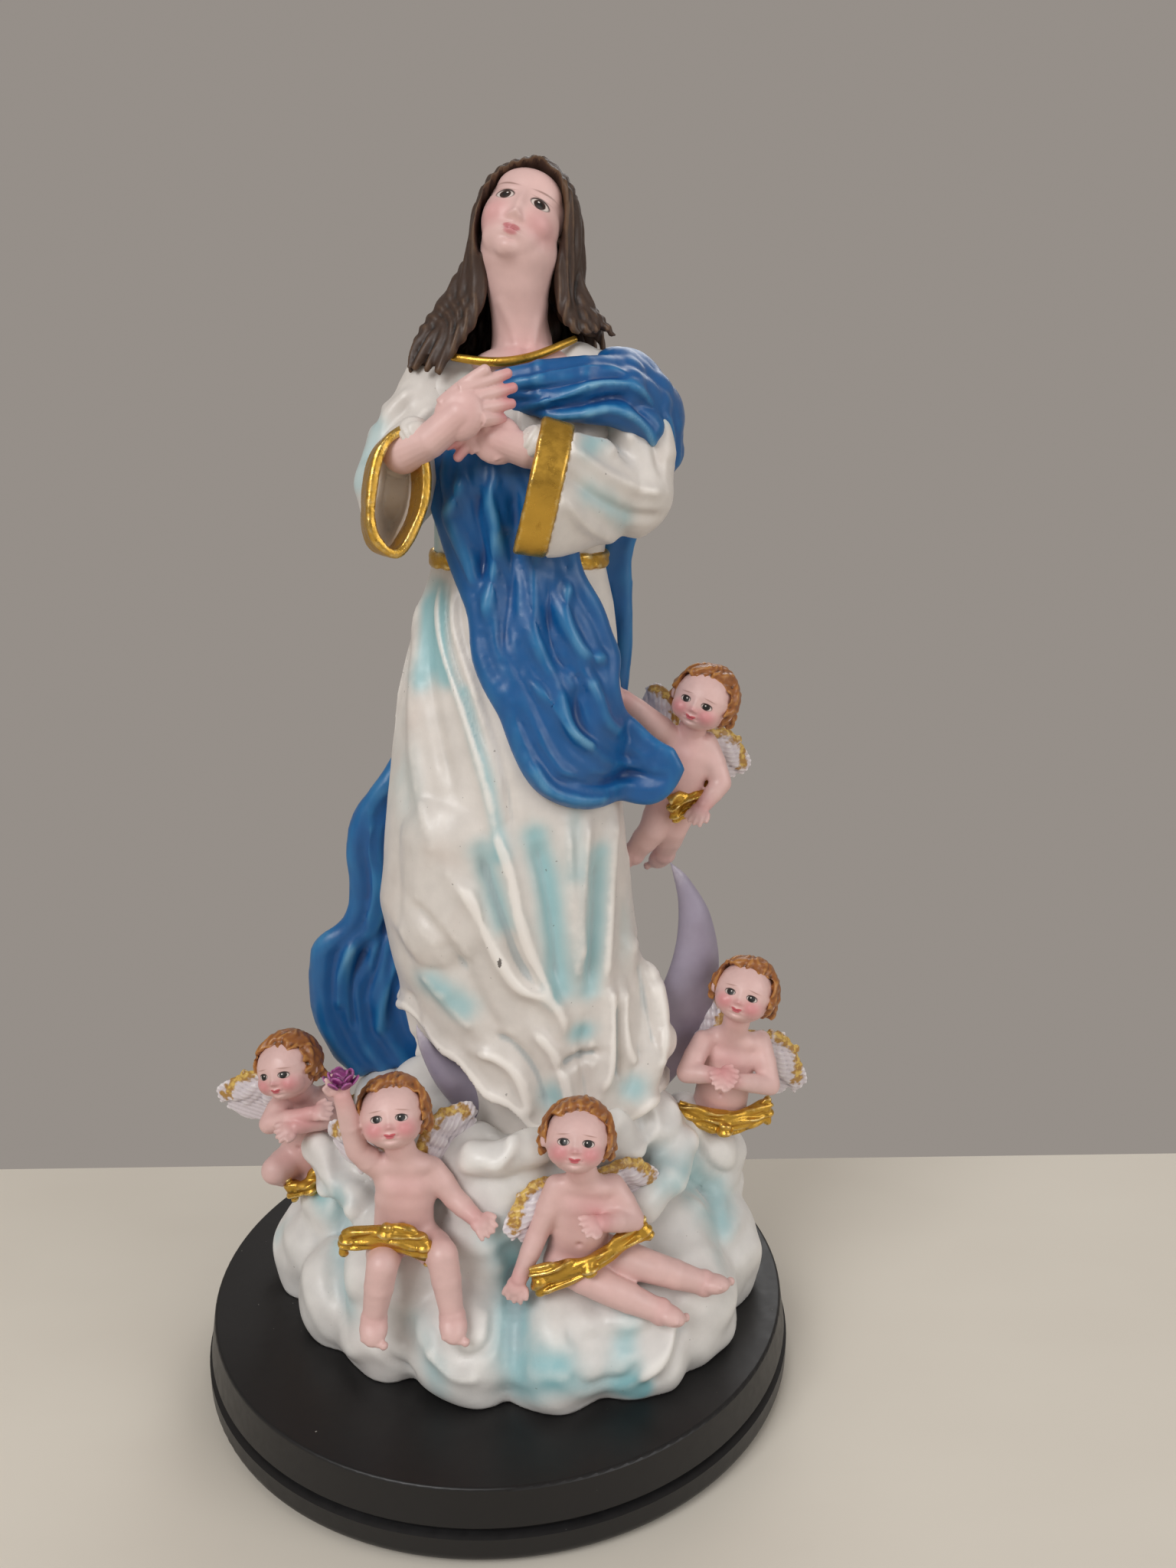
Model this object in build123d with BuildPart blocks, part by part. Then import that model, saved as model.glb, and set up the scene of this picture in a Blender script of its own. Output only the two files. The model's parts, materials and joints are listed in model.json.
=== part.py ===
"""Resin statuette of the Madonna carried up on a cloud by five cherubs, on a turned and lacquered plinth.

The statuette is cold-cast filled resin: the cherubs, their wings, the head, the hands and the crescent are
castings of their own that are seated in one another and glued, and each painted region of the figure is a
casting here too.  Two screws hold the cloud down to the plinth, and a felt disc covers their heads.

Millimetres.  The origin is the centre of the felt's underside, +Z is up, -Y is the front that the Madonna
faces, and +X is on the viewer's right.  Right and left in names are the figure's own.  The plinth, its
felt and its screws are measured from the felt's underside, and all that stands on the plinth is measured
from the plinth's top face and lifted onto it when it is written.
"""

import os

from build123d import *

# ---------------------------------------------------------------- plinth, felt and screws
FELT_RADIUS = 70.0
FELT_THICKNESS = 1.0
PLINTH_RADIUS = 77.5
PLINTH_TOP_RADIUS = 75.5
PLINTH_TOP = 19.0
PLINTH_GROOVE_HEIGHT = 9.2
PLINTH_GROOVE_DEPTH = 1.3
PLINTH_GROOVE_WIDTH = 1.6
PLINTH_EDGE_RADIUS = 0.8
PLINTH_FOOT_RADIUS = 2.5

SCREW_SPACING = 60.0
SCREW_RADIUS = 2.0
SCREW_HEAD_RADIUS = 4.0
SCREW_BITE = 12.0
SCREW_CLEARANCE = 0.3

# ---------------------------------------------------------------- the Madonna
WAIST = 192.0
BELT_HEIGHT = 4.0
BELT_PROUD = 1.4
MANTLE_THICKNESS = 4.5
MANTLE_PARTING = 2.0
SLEEVE_WALL = 2.0
SLEEVE_POCKET = 9.0
CUFF_WIDTH = 5.5
CUFF_PROUD = 0.6
NECK_TRIM_RADIUS = 0.9
HAIR_THICKNESS = 1.5
CUT_REACH = 200.0

# Elliptic sections of the dressed figure from the hem to the neck: height, centre x, centre y, half width,
# half depth.  The robe uses those up to the waist and the bodice those from the waist up.
ROBE_SECTIONS = [
    (43.0, 12.0, 0.0, 32.0, 28.0),
    (61.0, 12.0, 0.0, 31.5, 29.0),
    (77.0, 9.5, 0.0, 32.0, 28.5),
    (93.0, 5.0, 0.0, 31.0, 28.0),
    (109.0, 2.5, -0.5, 31.0, 27.5),
    (137.0, 3.3, -0.5, 28.4, 24.5),
    (161.0, 4.8, 0.0, 26.5, 20.5),
    (181.0, 6.8, 0.0, 23.0, 16.5),
    (WAIST, 7.5, 0.0, 20.0, 14.5),
]
BODICE_SECTIONS = [
    (WAIST, 7.5, 0.0, 20.0, 14.5),
    (207.0, 8.5, -1.0, 20.5, 16.0),
    (220.0, 9.5, -1.0, 22.5, 15.5),
    (229.0, 10.0, 0.0, 21.0, 13.0),
    (238.0, 10.0, 1.0, 11.0, 9.0),
]

# Points and ball radii of the rounded forms, each a chain of tapered limbs.
KNEE = [(-8.0, -13.0, 128.0), (-7.0, -12.0, 108.0)], [14.0, 16.5]
HEM_FLARE = [(26.0, -8.0, 98.0), (36.0, -6.0, 84.0), (34.0, -14.0, 66.0)], [8.0, 6.0, 8.0]
SHOULDERS = [(-9.0, 0.0, 227.0), (10.0, 1.0, 230.0), (31.0, 1.0, 228.0)], [9.0, 8.0, 9.5]
NECK = [(9.4, 0.0, 258.0), (9.5, 1.0, 234.0)], [6.2, 7.8]
SKULL = [(9.7, 1.0, 266.0), (9.0, -6.5, 259.5)], [10.0, 6.3]
FACE_REGION = [(9.3, -4.0, 265.0), (8.0, -20.0, 275.0)], [8.2, 14.0]
NECK_TRIM = [(-6.0, -9.0, 235.5), (3.5, -11.5, 234.5), (13.0, -10.5, 236.5), (20.0, -6.5, 240.0)]
HAIR_CROWN = [(10.2, 2.0, 267.0)], [SKULL[1][0] + HAIR_THICKNESS]
HAIR_BACK = [(10.0, 7.0, 264.0), (10.0, 10.0, 245.0), (8.0, 13.0, 224.0)], [9.0, 9.0, 7.0]
HAIR_RIGHT = [
    [(1.5, 1.0, 266.0), (-3.5, 1.0, 254.0), (-10.0, 0.0, 243.0), (-14.5, -2.0, 235.0)],
    [3.5, 4.5, 5.5, 4.0],
]
HAIR_LEFT = [
    [(18.5, 2.0, 266.0), (18.5, 2.0, 254.0), (22.5, 1.0, 245.0), (26.0, -1.0, 240.0)],
    [3.5, 4.5, 5.0, 4.0],
]
RIGHT_HAND = [
    [(-16.0, -24.0, 219.5), (-7.0, -26.0, 224.0), (0.0, -25.0, 229.0), (5.0, -22.0, 231.5)],
    [3.0, 4.2, 3.2, 1.8],
]
LEFT_HAND = [(10.5, -24.3, 217.0), (2.4, -22.8, 219.2), (-6.2, -21.2, 218.2)], [3.5, 4.2, 2.5]
RIGHT_INNER_SLEEVE = [(-20.0, -15.0, 213.0), (-17.0, -22.0, 217.5)], [5.0, 3.8]
LEFT_INNER_SLEEVE = [(20.0, -20.0, 213.0), (12.5, -24.5, 217.0)], [5.5, 4.4]
MANTLE_SHOULDER = [
    [(5.0, -13.5, 231.0), (17.0, -14.0, 231.0), (30.0, -8.0, 232.0), (35.0, -2.0, 228.0),
     (36.5, -3.0, 217.0)],
    [2.6, 4.5, 8.5, 9.5, 8.5],
]
MANTLE_CURL = [
    [(28.0, -18.0, 151.0), (35.0, -18.0, 145.0), (41.0, -15.0, 140.0), (42.0, -12.0, 137.0)],
    [4.0, 5.0, 4.2, 3.2],
]
MANTLE_TAIL = [
    [(-25.0, 8.0, 131.0), (-30.0, 8.0, 119.0), (-31.0, 9.0, 103.0), (-38.0, 10.0, 86.0),
     (-38.0, 9.0, 71.0), (-33.0, 8.0, 60.0)],
    [3.5, 4.5, 4.5, 6.0, 7.0, 5.0],
]

# Outlines of the two draped sheets of the mantle, seen from the front: across the front from the hands to
# the curl, and down the back to the tail.
MANTLE_FRONT_OUTLINE = [
    (-10.5, 216.0), (-9.0, 205.0), (-7.5, 195.0), (-3.0, 186.0), (-2.0, 174.0), (2.0, 163.0), (9.0, 149.0),
    (18.0, 140.0), (32.0, 136.0), (40.0, 140.0), (31.0, 153.0), (28.5, 169.0), (25.0, 182.0), (20.0, 195.0),
    (15.0, 207.0), (12.0, 216.0),
]
MANTLE_BACK_OUTLINE = [
    (34.0, 233.0), (40.0, 212.0), (34.0, 192.0), (36.0, 165.0), (36.0, 130.0), (36.0, 95.0), (24.0, 72.0),
    (0.0, 62.0), (-24.0, 60.0), (-38.0, 66.0), (-38.0, 100.0), (-34.0, 128.0), (-22.0, 142.0), (-12.0, 166.0),
    (-6.0, 192.0), (2.0, 222.0), (14.0, 236.0),
]

RIGHT_ARM = [(-12.0, 0.0, 227.0), (-20.0, -7.0, 208.0)], [9.0, 9.5]
RIGHT_MOUTH = dict(
    centre=(-20.5, -21.0, 207.0), facing=(0.35, -0.93, 0.1), roll=-13.0, half_width=6.5, half_height=13.0,
)
LEFT_ARM = [(34.0, -1.0, 227.0), (33.0, -9.0, 207.0)], [9.0, 9.8]
LEFT_MOUTH = dict(
    centre=(15.5, -24.0, 207.0), facing=(-0.94, -0.25, 0.21), roll=0.0, half_width=7.5, half_height=13.5,
)

# ---------------------------------------------------------------- the crescent and the cloud
CRESCENT_CENTRE = (19.0, -6.0, 83.0)
CRESCENT_RADIUS = 39.0
CRESCENT_INNER_RADIUS = 37.7
CRESCENT_OFFSET = 10.7
CRESCENT_OPENING = 126.0
CRESCENT_YAW = 16.0
CRESCENT_THICKNESS = 7.0

# Cloud lobes: centre and radius of each puff, cut flat by the plinth.
CLOUD_LOBES = [
    (-45.0, 3.0, 8.0, 16.0),
    (-37.0, -17.0, 8.0, 15.0),
    (-26.0, -28.0, 8.0, 15.5),
    (-7.0, -37.0, 9.0, 17.0),
    (13.0, -41.0, 9.0, 17.0),
    (30.0, -37.0, 8.0, 17.5),
    (41.0, -28.0, 9.0, 18.5),
    (51.0, -8.0, 9.0, 18.5),
    (49.0, 14.0, 11.0, 18.0),
    (30.0, 30.0, 9.0, 18.5),
    (6.0, 38.0, 9.0, 18.5),
    (-18.0, 33.0, 10.0, 18.0),
    (-37.0, 20.0, 9.0, 16.5),
    (-38.0, 2.0, 21.0, 15.0),
    (-22.0, -24.0, 21.0, 17.0),
    (20.0, -27.0, 17.0, 18.0),
    (40.0, -18.0, 21.0, 15.0),
    (54.0, 2.0, 27.0, 13.0),
    (57.0, 1.0, 35.0, 10.0),
    (0.0, -26.0, 41.0, 14.0),
    (12.0, 6.0, 23.0, 34.0),
]

# ---------------------------------------------------------------- the cherubs
CHERUB_HEAD_RADIUS = 7.8
CHERUB_HAIR_THICKNESS = 1.3
CHERUB_FACE_RADIUS = 6.0
CHERUB_NECK_RADIUS = 3.3
CHERUB_CHEST_RADIUS = 5.8
CHERUB_HIP_RADIUS = 6.3
CHERUB_ARM_RADII = [2.7, 2.4, 2.0]
CHERUB_LEG_RADII = [4.0, 3.2, 2.4]
WING_THICKNESS = 1.6
WING_ROOT_SPREAD = 2.5
WING_ROOT_DEPTH = 4.0
WING_ROOT_HEIGHT = 3.0
WING_BREADTH = 0.32
CLOTH_RADIUS = 2.3
ROSE_RADIUS = 3.1
ROSE_PETAL_RADIUS = 1.4

# Each cherub: its head, which way its face looks, its chest and hips, its arms and legs from root to end,
# its wing tips, and the cloth about its hips.
CHERUBS = {
    "leaning_cherub": dict(
        head=(-53.5, -4.0, 64.5), look=(-0.35, -0.93, -0.1),
        chest=(-50.0, 1.0, 49.0), hips=(-50.0, 2.0, 36.0),
        right_arm=[(-55.0, 0.0, 53.0), (-58.5, -6.0, 50.0), (-47.0, -9.0, 54.0)],
        left_arm=[(-44.0, 1.0, 53.0), (-41.0, -5.0, 51.0), (-51.0, -10.0, 51.0)],
        right_leg=[(-54.0, 1.0, 36.0), (-58.0, -5.0, 36.0), (-54.0, 3.0, 29.0)],
        left_leg=[(-48.0, 2.0, 33.0), (-47.0, -3.0, 27.0), (-50.0, 3.0, 16.0)],
        right_wing_tip=(-74.0, 11.0, 47.0), left_wing_tip=(-40.0, 13.0, 33.0),
        cloth=[(-54.0, -5.0, 31.0), (-49.0, -7.0, 31.5), (-43.0, -4.0, 35.0)],
    ),
    "rose_cherub": dict(
        head=(-24.3, -38.0, 69.0), look=(-0.05, -0.99, 0.0),
        chest=(-22.0, -37.0, 51.0), hips=(-23.0, -36.0, 37.0),
        right_arm=[(-28.0, -37.0, 53.0), (-32.5, -39.0, 61.0), (-35.0, -41.0, 76.0)],
        left_arm=[(-16.0, -36.0, 52.0), (-11.0, -38.0, 47.0), (-6.0, -42.0, 44.0)],
        right_leg=[(-27.0, -37.0, 35.0), (-27.0, -48.0, 37.0), (-29.5, -48.0, 23.0)],
        left_leg=[(-18.0, -37.0, 35.0), (-13.5, -47.0, 38.0), (-11.5, -50.0, 24.0)],
        right_wing_tip=(-41.0, -24.0, 56.0), left_wing_tip=(-5.0, -25.0, 61.0),
        cloth=[(-35.0, -44.0, 41.0), (-26.0, -46.0, 44.0), (-17.5, -46.5, 39.5)],
    ),
    "seated_cherub": dict(
        head=(17.7, -44.0, 64.5), look=(-0.05, -0.98, 0.15),
        chest=(19.5, -41.0, 46.0), hips=(18.0, -39.0, 32.0),
        right_arm=[(13.0, -41.0, 49.0), (9.0, -42.0, 40.0), (4.0, -46.0, 30.0)],
        left_arm=[(26.0, -40.0, 48.0), (31.0, -43.0, 42.0), (22.5, -49.0, 45.5)],
        right_leg=[(14.1, -41.1, 30.5), (24.5, -47.6, 27.3), (36.6, -49.4, 21.8)],
        left_leg=[(24.0, -39.0, 31.0), (36.0, -44.0, 29.5), (48.0, -43.0, 24.0)],
        right_wing_tip=(4.0, -30.0, 35.0), left_wing_tip=(36.0, -29.0, 41.0),
        cloth=[(8.5, -47.5, 30.5), (20.0, -49.0, 34.0), (33.0, -43.0, 39.5)],
    ),
    "praying_cherub": dict(
        head=(62.6, -10.2, 83.8), look=(-0.2, -0.97, 0.05),
        chest=(60.2, -5.2, 63.8), hips=(58.3, -4.3, 49.3),
        right_arm=[(53.0, -6.0, 67.0), (48.0, -12.0, 63.0), (55.0, -16.0, 64.0)],
        left_arm=[(68.0, -5.0, 66.0), (70.0, -11.0, 58.0), (58.0, -17.0, 63.0)],
        right_leg=[(54.0, -4.0, 47.0), (51.0, -9.0, 43.0), (52.0, -2.0, 31.0)],
        left_leg=[(62.0, -3.0, 46.0), (62.0, -7.0, 41.0), (62.0, 0.0, 30.0)],
        right_wing_tip=(50.0, 9.0, 80.0), left_wing_tip=(79.0, 9.0, 47.0),
        cloth=[(47.5, -9.0, 51.0), (58.0, -13.5, 47.0), (69.5, -9.0, 50.0)],
    ),
    "flying_cherub": dict(
        head=(52.9, 4.0, 156.4), look=(-0.35, -0.93, -0.05),
        chest=(49.0, 8.0, 142.0), hips=(46.5, 9.0, 130.0),
        right_arm=[(45.0, 7.0, 146.0), (39.5, 4.0, 152.0), (32.5, 1.0, 158.0)],
        left_arm=[(54.5, 7.0, 144.0), (58.0, 4.0, 135.0), (53.0, 1.0, 130.0)],
        right_leg=[(44.5, 9.0, 129.0), (41.0, 7.0, 122.0), (36.5, 10.0, 115.0)],
        left_leg=[(49.0, 9.0, 129.0), (46.5, 8.0, 122.0), (45.0, 13.0, 114.0)],
        right_wing_tip=(40.0, 18.0, 157.0), left_wing_tip=(66.0, 19.0, 133.0),
        cloth=[(46.0, 3.0, 129.0), (52.0, 3.5, 131.0), (54.5, 8.0, 134.0)],
    ),
}
BALL_SWELL = 1.03
FROM_START = (Align.CENTER, Align.CENTER, Align.MIN)


# ---------------------------------------------------------------- shared operations
def limbs(*chains, mode=Mode.ADD):
    """Tapered cones from point to point with a ball at each one, like an arm, joined in one operation.

    Each chain is its points and the radius at each point.  A ball's poles lie on the bone that leaves it.
    """
    pieces = []
    for points, radii in chains:
        bones = [Vector(*end) - Vector(*start) for start, end in zip(points, points[1:])]
        ways = bones + bones[-1:] if bones else [Vector(0, 0, 1)]
        for point, way, radius in zip(points, ways, radii):
            pieces.append(Solid.make_sphere(radius * BALL_SWELL, Plane(origin=point, z_dir=way)))
        for start, bone, start_radius, end_radius in zip(points, bones, radii, radii[1:]):
            along = Plane(origin=start, z_dir=bone)
            if start_radius == end_radius:
                pieces.append(Solid.make_cylinder(start_radius, bone.length, along))
            else:
                pieces.append(Solid.make_cone(start_radius, end_radius, bone.length, along))
    add(pieces[0].fuse(*pieces[1:]) if len(pieces) > 1 else pieces, mode=mode)


def figure_loft(sections, grow=0.0, mode=Mode.ADD):
    """Loft through the figure's elliptic sections, each grown by the same amount all round."""
    outlines = []
    for height, x, y, half_width, half_depth in sections:
        with BuildSketch(Plane.XY.offset(height)) as section:
            with Locations((x, y)):
                Ellipse(half_width + grow, half_depth + grow)
        outlines.append(section.sketch)
    loft(sections=outlines, mode=mode)


def clear_of(*neighbours):
    """Cut out of the open sub-part what its neighbours fill, so that they meet face to face."""
    for neighbour in neighbours:
        add(neighbour.part, mode=Mode.SUBTRACT)


def mouth_plane(mouth):
    """The plane of a sleeve's open end: its normal points out of the sleeve and its y axis runs up."""
    facing = Vector(*mouth["facing"])
    plane = Plane(origin=mouth["centre"], x_dir=Vector(0, 0, 1).cross(facing), z_dir=facing)
    return plane.rotated((0, 0, mouth["roll"]))


def open_sleeve(arm, mouth):
    """Upper arm, and a forearm that widens to an open mouth with a pocket inside it."""
    limbs(arm)
    elbow, elbow_radius = arm[0][-1], arm[1][-1]
    rim_plane = mouth_plane(mouth)
    half_width, half_height = mouth["half_width"], mouth["half_height"]
    with BuildSketch(Plane(origin=elbow, x_dir=rim_plane.x_dir, z_dir=rim_plane.z_dir)) as root:
        Circle(elbow_radius)
    with BuildSketch(rim_plane) as rim:
        Ellipse(half_width, half_height)
    loft(sections=[root.sketch, rim.sketch])
    with BuildSketch(rim_plane) as opening:
        Ellipse(half_width - SLEEVE_WALL, half_height - SLEEVE_WALL)
    with BuildSketch(rim_plane.offset(-SLEEVE_POCKET)) as pocket_floor:
        Ellipse(half_width - 1.5 * SLEEVE_WALL, half_height - 3 * SLEEVE_WALL)
    loft(sections=[opening.sketch, pocket_floor.sketch], mode=Mode.SUBTRACT)


def cuff_band(mouth):
    """The gilt band that ends a sleeve, a little proud of the cloth."""
    half_width, half_height = mouth["half_width"], mouth["half_height"]
    with BuildSketch(mouth_plane(mouth)) as band:
        Ellipse(half_width + CUFF_PROUD, half_height + CUFF_PROUD)
        Ellipse(half_width - SLEEVE_WALL, half_height - SLEEVE_WALL, mode=Mode.SUBTRACT)
    extrude(to_extrude=band.sketch, amount=CUFF_WIDTH)


def mantle_sheet(outline_points, towards_back):
    """A draped sheet: its outline cut from the figure's own form grown by the cloth's thickness."""
    side = -1 if towards_back else 1
    with BuildSketch(Plane.XZ.offset(side * MANTLE_PARTING)) as outline:
        with BuildLine():
            Spline(*outline_points, periodic=True)
        make_face()
    extrude(to_extrude=outline.sketch, amount=side * CUT_REACH)
    figure_loft(ROBE_SECTIONS + BODICE_SECTIONS[1:], grow=MANTLE_THICKNESS, mode=Mode.INTERSECT)


def hand_in(builder, name, height=PLINTH_TOP):
    """Lift a finished sub-part to its height, drop the crumbs that cuts left, label it and write it."""
    solid = builder.part.solids().sort_by(SortBy.VOLUME)[-1]
    piece = Part(solid.moved(Location((0, 0, height))).wrapped)
    piece.label = name
    export_step(piece, f"parts/{name}.step")


os.makedirs("parts", exist_ok=True)

# ---------------------------------------------------------------- plinth, felt and screws
screw_places = [(-SCREW_SPACING / 2, 0, FELT_THICKNESS), (SCREW_SPACING / 2, 0, FELT_THICKNESS)]
screw_head_height = SCREW_HEAD_RADIUS - SCREW_RADIUS

with BuildPart() as felt_pad:
    Cylinder(FELT_RADIUS, FELT_THICKNESS, align=FROM_START)
hand_in(felt_pad, "felt_pad", height=0)

with BuildPart() as plinth:
    with BuildSketch(Plane.XZ) as half_section:
        with BuildLine() as turned_profile:
            Polyline(
                (0, FELT_THICKNESS),
                (PLINTH_RADIUS, FELT_THICKNESS),
                (PLINTH_RADIUS, PLINTH_GROOVE_HEIGHT - PLINTH_GROOVE_WIDTH),
                (PLINTH_TOP_RADIUS, PLINTH_GROOVE_HEIGHT - PLINTH_GROOVE_WIDTH / 2),
                (PLINTH_TOP_RADIUS, PLINTH_GROOVE_HEIGHT),
                (PLINTH_TOP_RADIUS + PLINTH_GROOVE_DEPTH, PLINTH_GROOVE_HEIGHT + PLINTH_GROOVE_WIDTH / 2),
                (PLINTH_TOP_RADIUS, PLINTH_TOP),
                (0, PLINTH_TOP),
                close=True,
            )
        make_face()
    revolve(axis=Axis.Z)
    rims = plinth.edges().filter_by(GeomType.CIRCLE).group_by(Axis.Z)
    fillet(rims[-1], PLINTH_EDGE_RADIUS)
    fillet(rims[0], PLINTH_FOOT_RADIUS)
    for x, y, z in screw_places:
        with Locations(Plane(origin=(x, y, z), z_dir=(0, 0, -1))):
            CounterSinkHole(SCREW_RADIUS + SCREW_CLEARANCE, SCREW_HEAD_RADIUS + SCREW_CLEARANCE,
                            depth=PLINTH_TOP, counter_sink_angle=90)
hand_in(plinth, "plinth", height=0)

screw_length = PLINTH_TOP - FELT_THICKNESS + SCREW_BITE
screws = []
for name, x in (("right_screw", -SCREW_SPACING / 2), ("left_screw", SCREW_SPACING / 2)):
    with BuildPart() as screw:
        with Locations((x, 0, FELT_THICKNESS - PLINTH_TOP)):
            Cone(SCREW_HEAD_RADIUS, SCREW_RADIUS, screw_head_height, align=FROM_START)
            Cylinder(SCREW_RADIUS, screw_length, align=FROM_START)
    hand_in(screw, name)
    screws.append(screw)

# ---------------------------------------------------------------- crescent and robe
with BuildPart() as crescent_moon:
    crescent_plane = Plane(
        origin=CRESCENT_CENTRE,
        x_dir=Vector(1, 0, 0).rotate(Axis.Z, CRESCENT_YAW),
        z_dir=Vector(0, -1, 0).rotate(Axis.Z, CRESCENT_YAW),
    )
    with BuildSketch(crescent_plane) as crescent_outline:
        Circle(CRESCENT_RADIUS)
        with PolarLocations(CRESCENT_OFFSET, 1, start_angle=CRESCENT_OPENING):
            Circle(CRESCENT_INNER_RADIUS, mode=Mode.SUBTRACT)
    extrude(amount=CRESCENT_THICKNESS / 2, both=True)
hand_in(crescent_moon, "crescent_moon")

with BuildPart() as robe_skirt:
    figure_loft(ROBE_SECTIONS)
    limbs(KNEE, HEM_FLARE)
    clear_of(crescent_moon)
hand_in(robe_skirt, "robe_skirt")

with BuildPart() as head:
    limbs(SKULL, NECK)
hand_in(head, "head")

with BuildPart() as bodice:
    figure_loft(BODICE_SECTIONS)
    limbs(SHOULDERS)
    clear_of(head)
hand_in(bodice, "bodice")

with BuildPart() as belt:
    waist_height, waist_x, waist_y, waist_half_width, waist_half_depth = ROBE_SECTIONS[-1]
    with BuildSketch(Plane.XY.offset(waist_height - BELT_HEIGHT / 2)) as belt_outline:
        with Locations((waist_x, waist_y)):
            Ellipse(waist_half_width + BELT_PROUD, waist_half_depth + BELT_PROUD)
    extrude(amount=BELT_HEIGHT)
    clear_of(robe_skirt, bodice)
hand_in(belt, "belt")

# ---------------------------------------------------------------- hands and sleeves
with BuildPart() as right_hand:
    limbs(RIGHT_HAND)
hand_in(right_hand, "right_hand")

with BuildPart() as left_hand:
    limbs(LEFT_HAND)
hand_in(left_hand, "left_hand")

with BuildPart() as right_inner_sleeve:
    limbs(RIGHT_INNER_SLEEVE)
    clear_of(right_hand, bodice)
hand_in(right_inner_sleeve, "right_inner_sleeve")

with BuildPart() as left_inner_sleeve:
    limbs(LEFT_INNER_SLEEVE)
    clear_of(left_hand, bodice)
hand_in(left_inner_sleeve, "left_inner_sleeve")

with BuildPart() as right_sleeve:
    open_sleeve(RIGHT_ARM, RIGHT_MOUTH)
    clear_of(bodice, right_hand, right_inner_sleeve)
hand_in(right_sleeve, "right_sleeve")

with BuildPart() as left_sleeve:
    open_sleeve(LEFT_ARM, LEFT_MOUTH)
    clear_of(bodice, left_hand, left_inner_sleeve)
hand_in(left_sleeve, "left_sleeve")

with BuildPart() as right_cuff:
    cuff_band(RIGHT_MOUTH)
    clear_of(bodice, right_hand, right_inner_sleeve)
hand_in(right_cuff, "right_cuff")

with BuildPart() as left_cuff:
    cuff_band(LEFT_MOUTH)
    clear_of(bodice, left_hand, right_hand, left_inner_sleeve)
hand_in(left_cuff, "left_cuff")

# ---------------------------------------------------------------- hair, neckline and mantle
with BuildPart() as hair:
    limbs(HAIR_CROWN, HAIR_BACK, HAIR_RIGHT, HAIR_LEFT)
    limbs(FACE_REGION, mode=Mode.SUBTRACT)
    clear_of(head, bodice, right_sleeve, left_sleeve)
hand_in(hair, "hair")

with BuildPart() as neck_trim:
    limbs((NECK_TRIM, [NECK_TRIM_RADIUS] * len(NECK_TRIM)))
    clear_of(head, bodice, hair)
hand_in(neck_trim, "neck_trim")

with BuildPart() as mantle_shoulder:
    limbs(MANTLE_SHOULDER)
    clear_of(bodice, head, hair, neck_trim, left_sleeve, left_inner_sleeve, left_cuff, left_hand, right_hand)
hand_in(mantle_shoulder, "mantle_shoulder")

with BuildPart() as mantle_front:
    mantle_sheet(MANTLE_FRONT_OUTLINE, towards_back=False)
    limbs(MANTLE_CURL)
    clear_of(robe_skirt, bodice, belt, left_sleeve, left_inner_sleeve, left_cuff, left_hand, right_hand)
    clear_of(right_sleeve, right_cuff, right_inner_sleeve, mantle_shoulder)
hand_in(mantle_front, "mantle_front")

with BuildPart() as mantle_back:
    mantle_sheet(MANTLE_BACK_OUTLINE, towards_back=True)
    limbs(MANTLE_TAIL)
    clear_of(robe_skirt, bodice, belt, left_sleeve, mantle_shoulder, mantle_front, hair, head, crescent_moon)
hand_in(mantle_back, "mantle_back")

# ---------------------------------------------------------------- cherubs
carried_by = {
    "leaning_cherub": [],
    "rose_cherub": [crescent_moon, robe_skirt],
    "seated_cherub": [robe_skirt],
    "praying_cherub": [crescent_moon, robe_skirt],
    "flying_cherub": [robe_skirt, mantle_front, mantle_back],
}
on_the_cloud = [crescent_moon, robe_skirt, mantle_back, *screws]


def wing(chest, tip, side):
    """A flat leaf from the shoulder blade on that side, -1 for the right and 1 for the left, to its tip."""
    root = Vector(*chest) + Vector(side * WING_ROOT_SPREAD, WING_ROOT_DEPTH, WING_ROOT_HEIGHT)
    span = Vector(*tip) - root
    back = Vector(0, 1, 0) - span * (span.Y / span.length**2)
    length, breadth = span.length, span.length * WING_BREADTH
    with BuildSketch(Plane(origin=root, x_dir=span, z_dir=back)) as leaf:
        with BuildLine():
            Spline((0, 0), (length * 0.35, breadth), (length * 0.75, breadth * 0.9), (length, 0))
            Spline((length, 0), (length * 0.6, -breadth), (length * 0.2, -breadth * 0.7), (0, 0))
        make_face()
    extrude(to_extrude=leaf.sketch, amount=WING_THICKNESS / 2, both=True)


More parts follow.
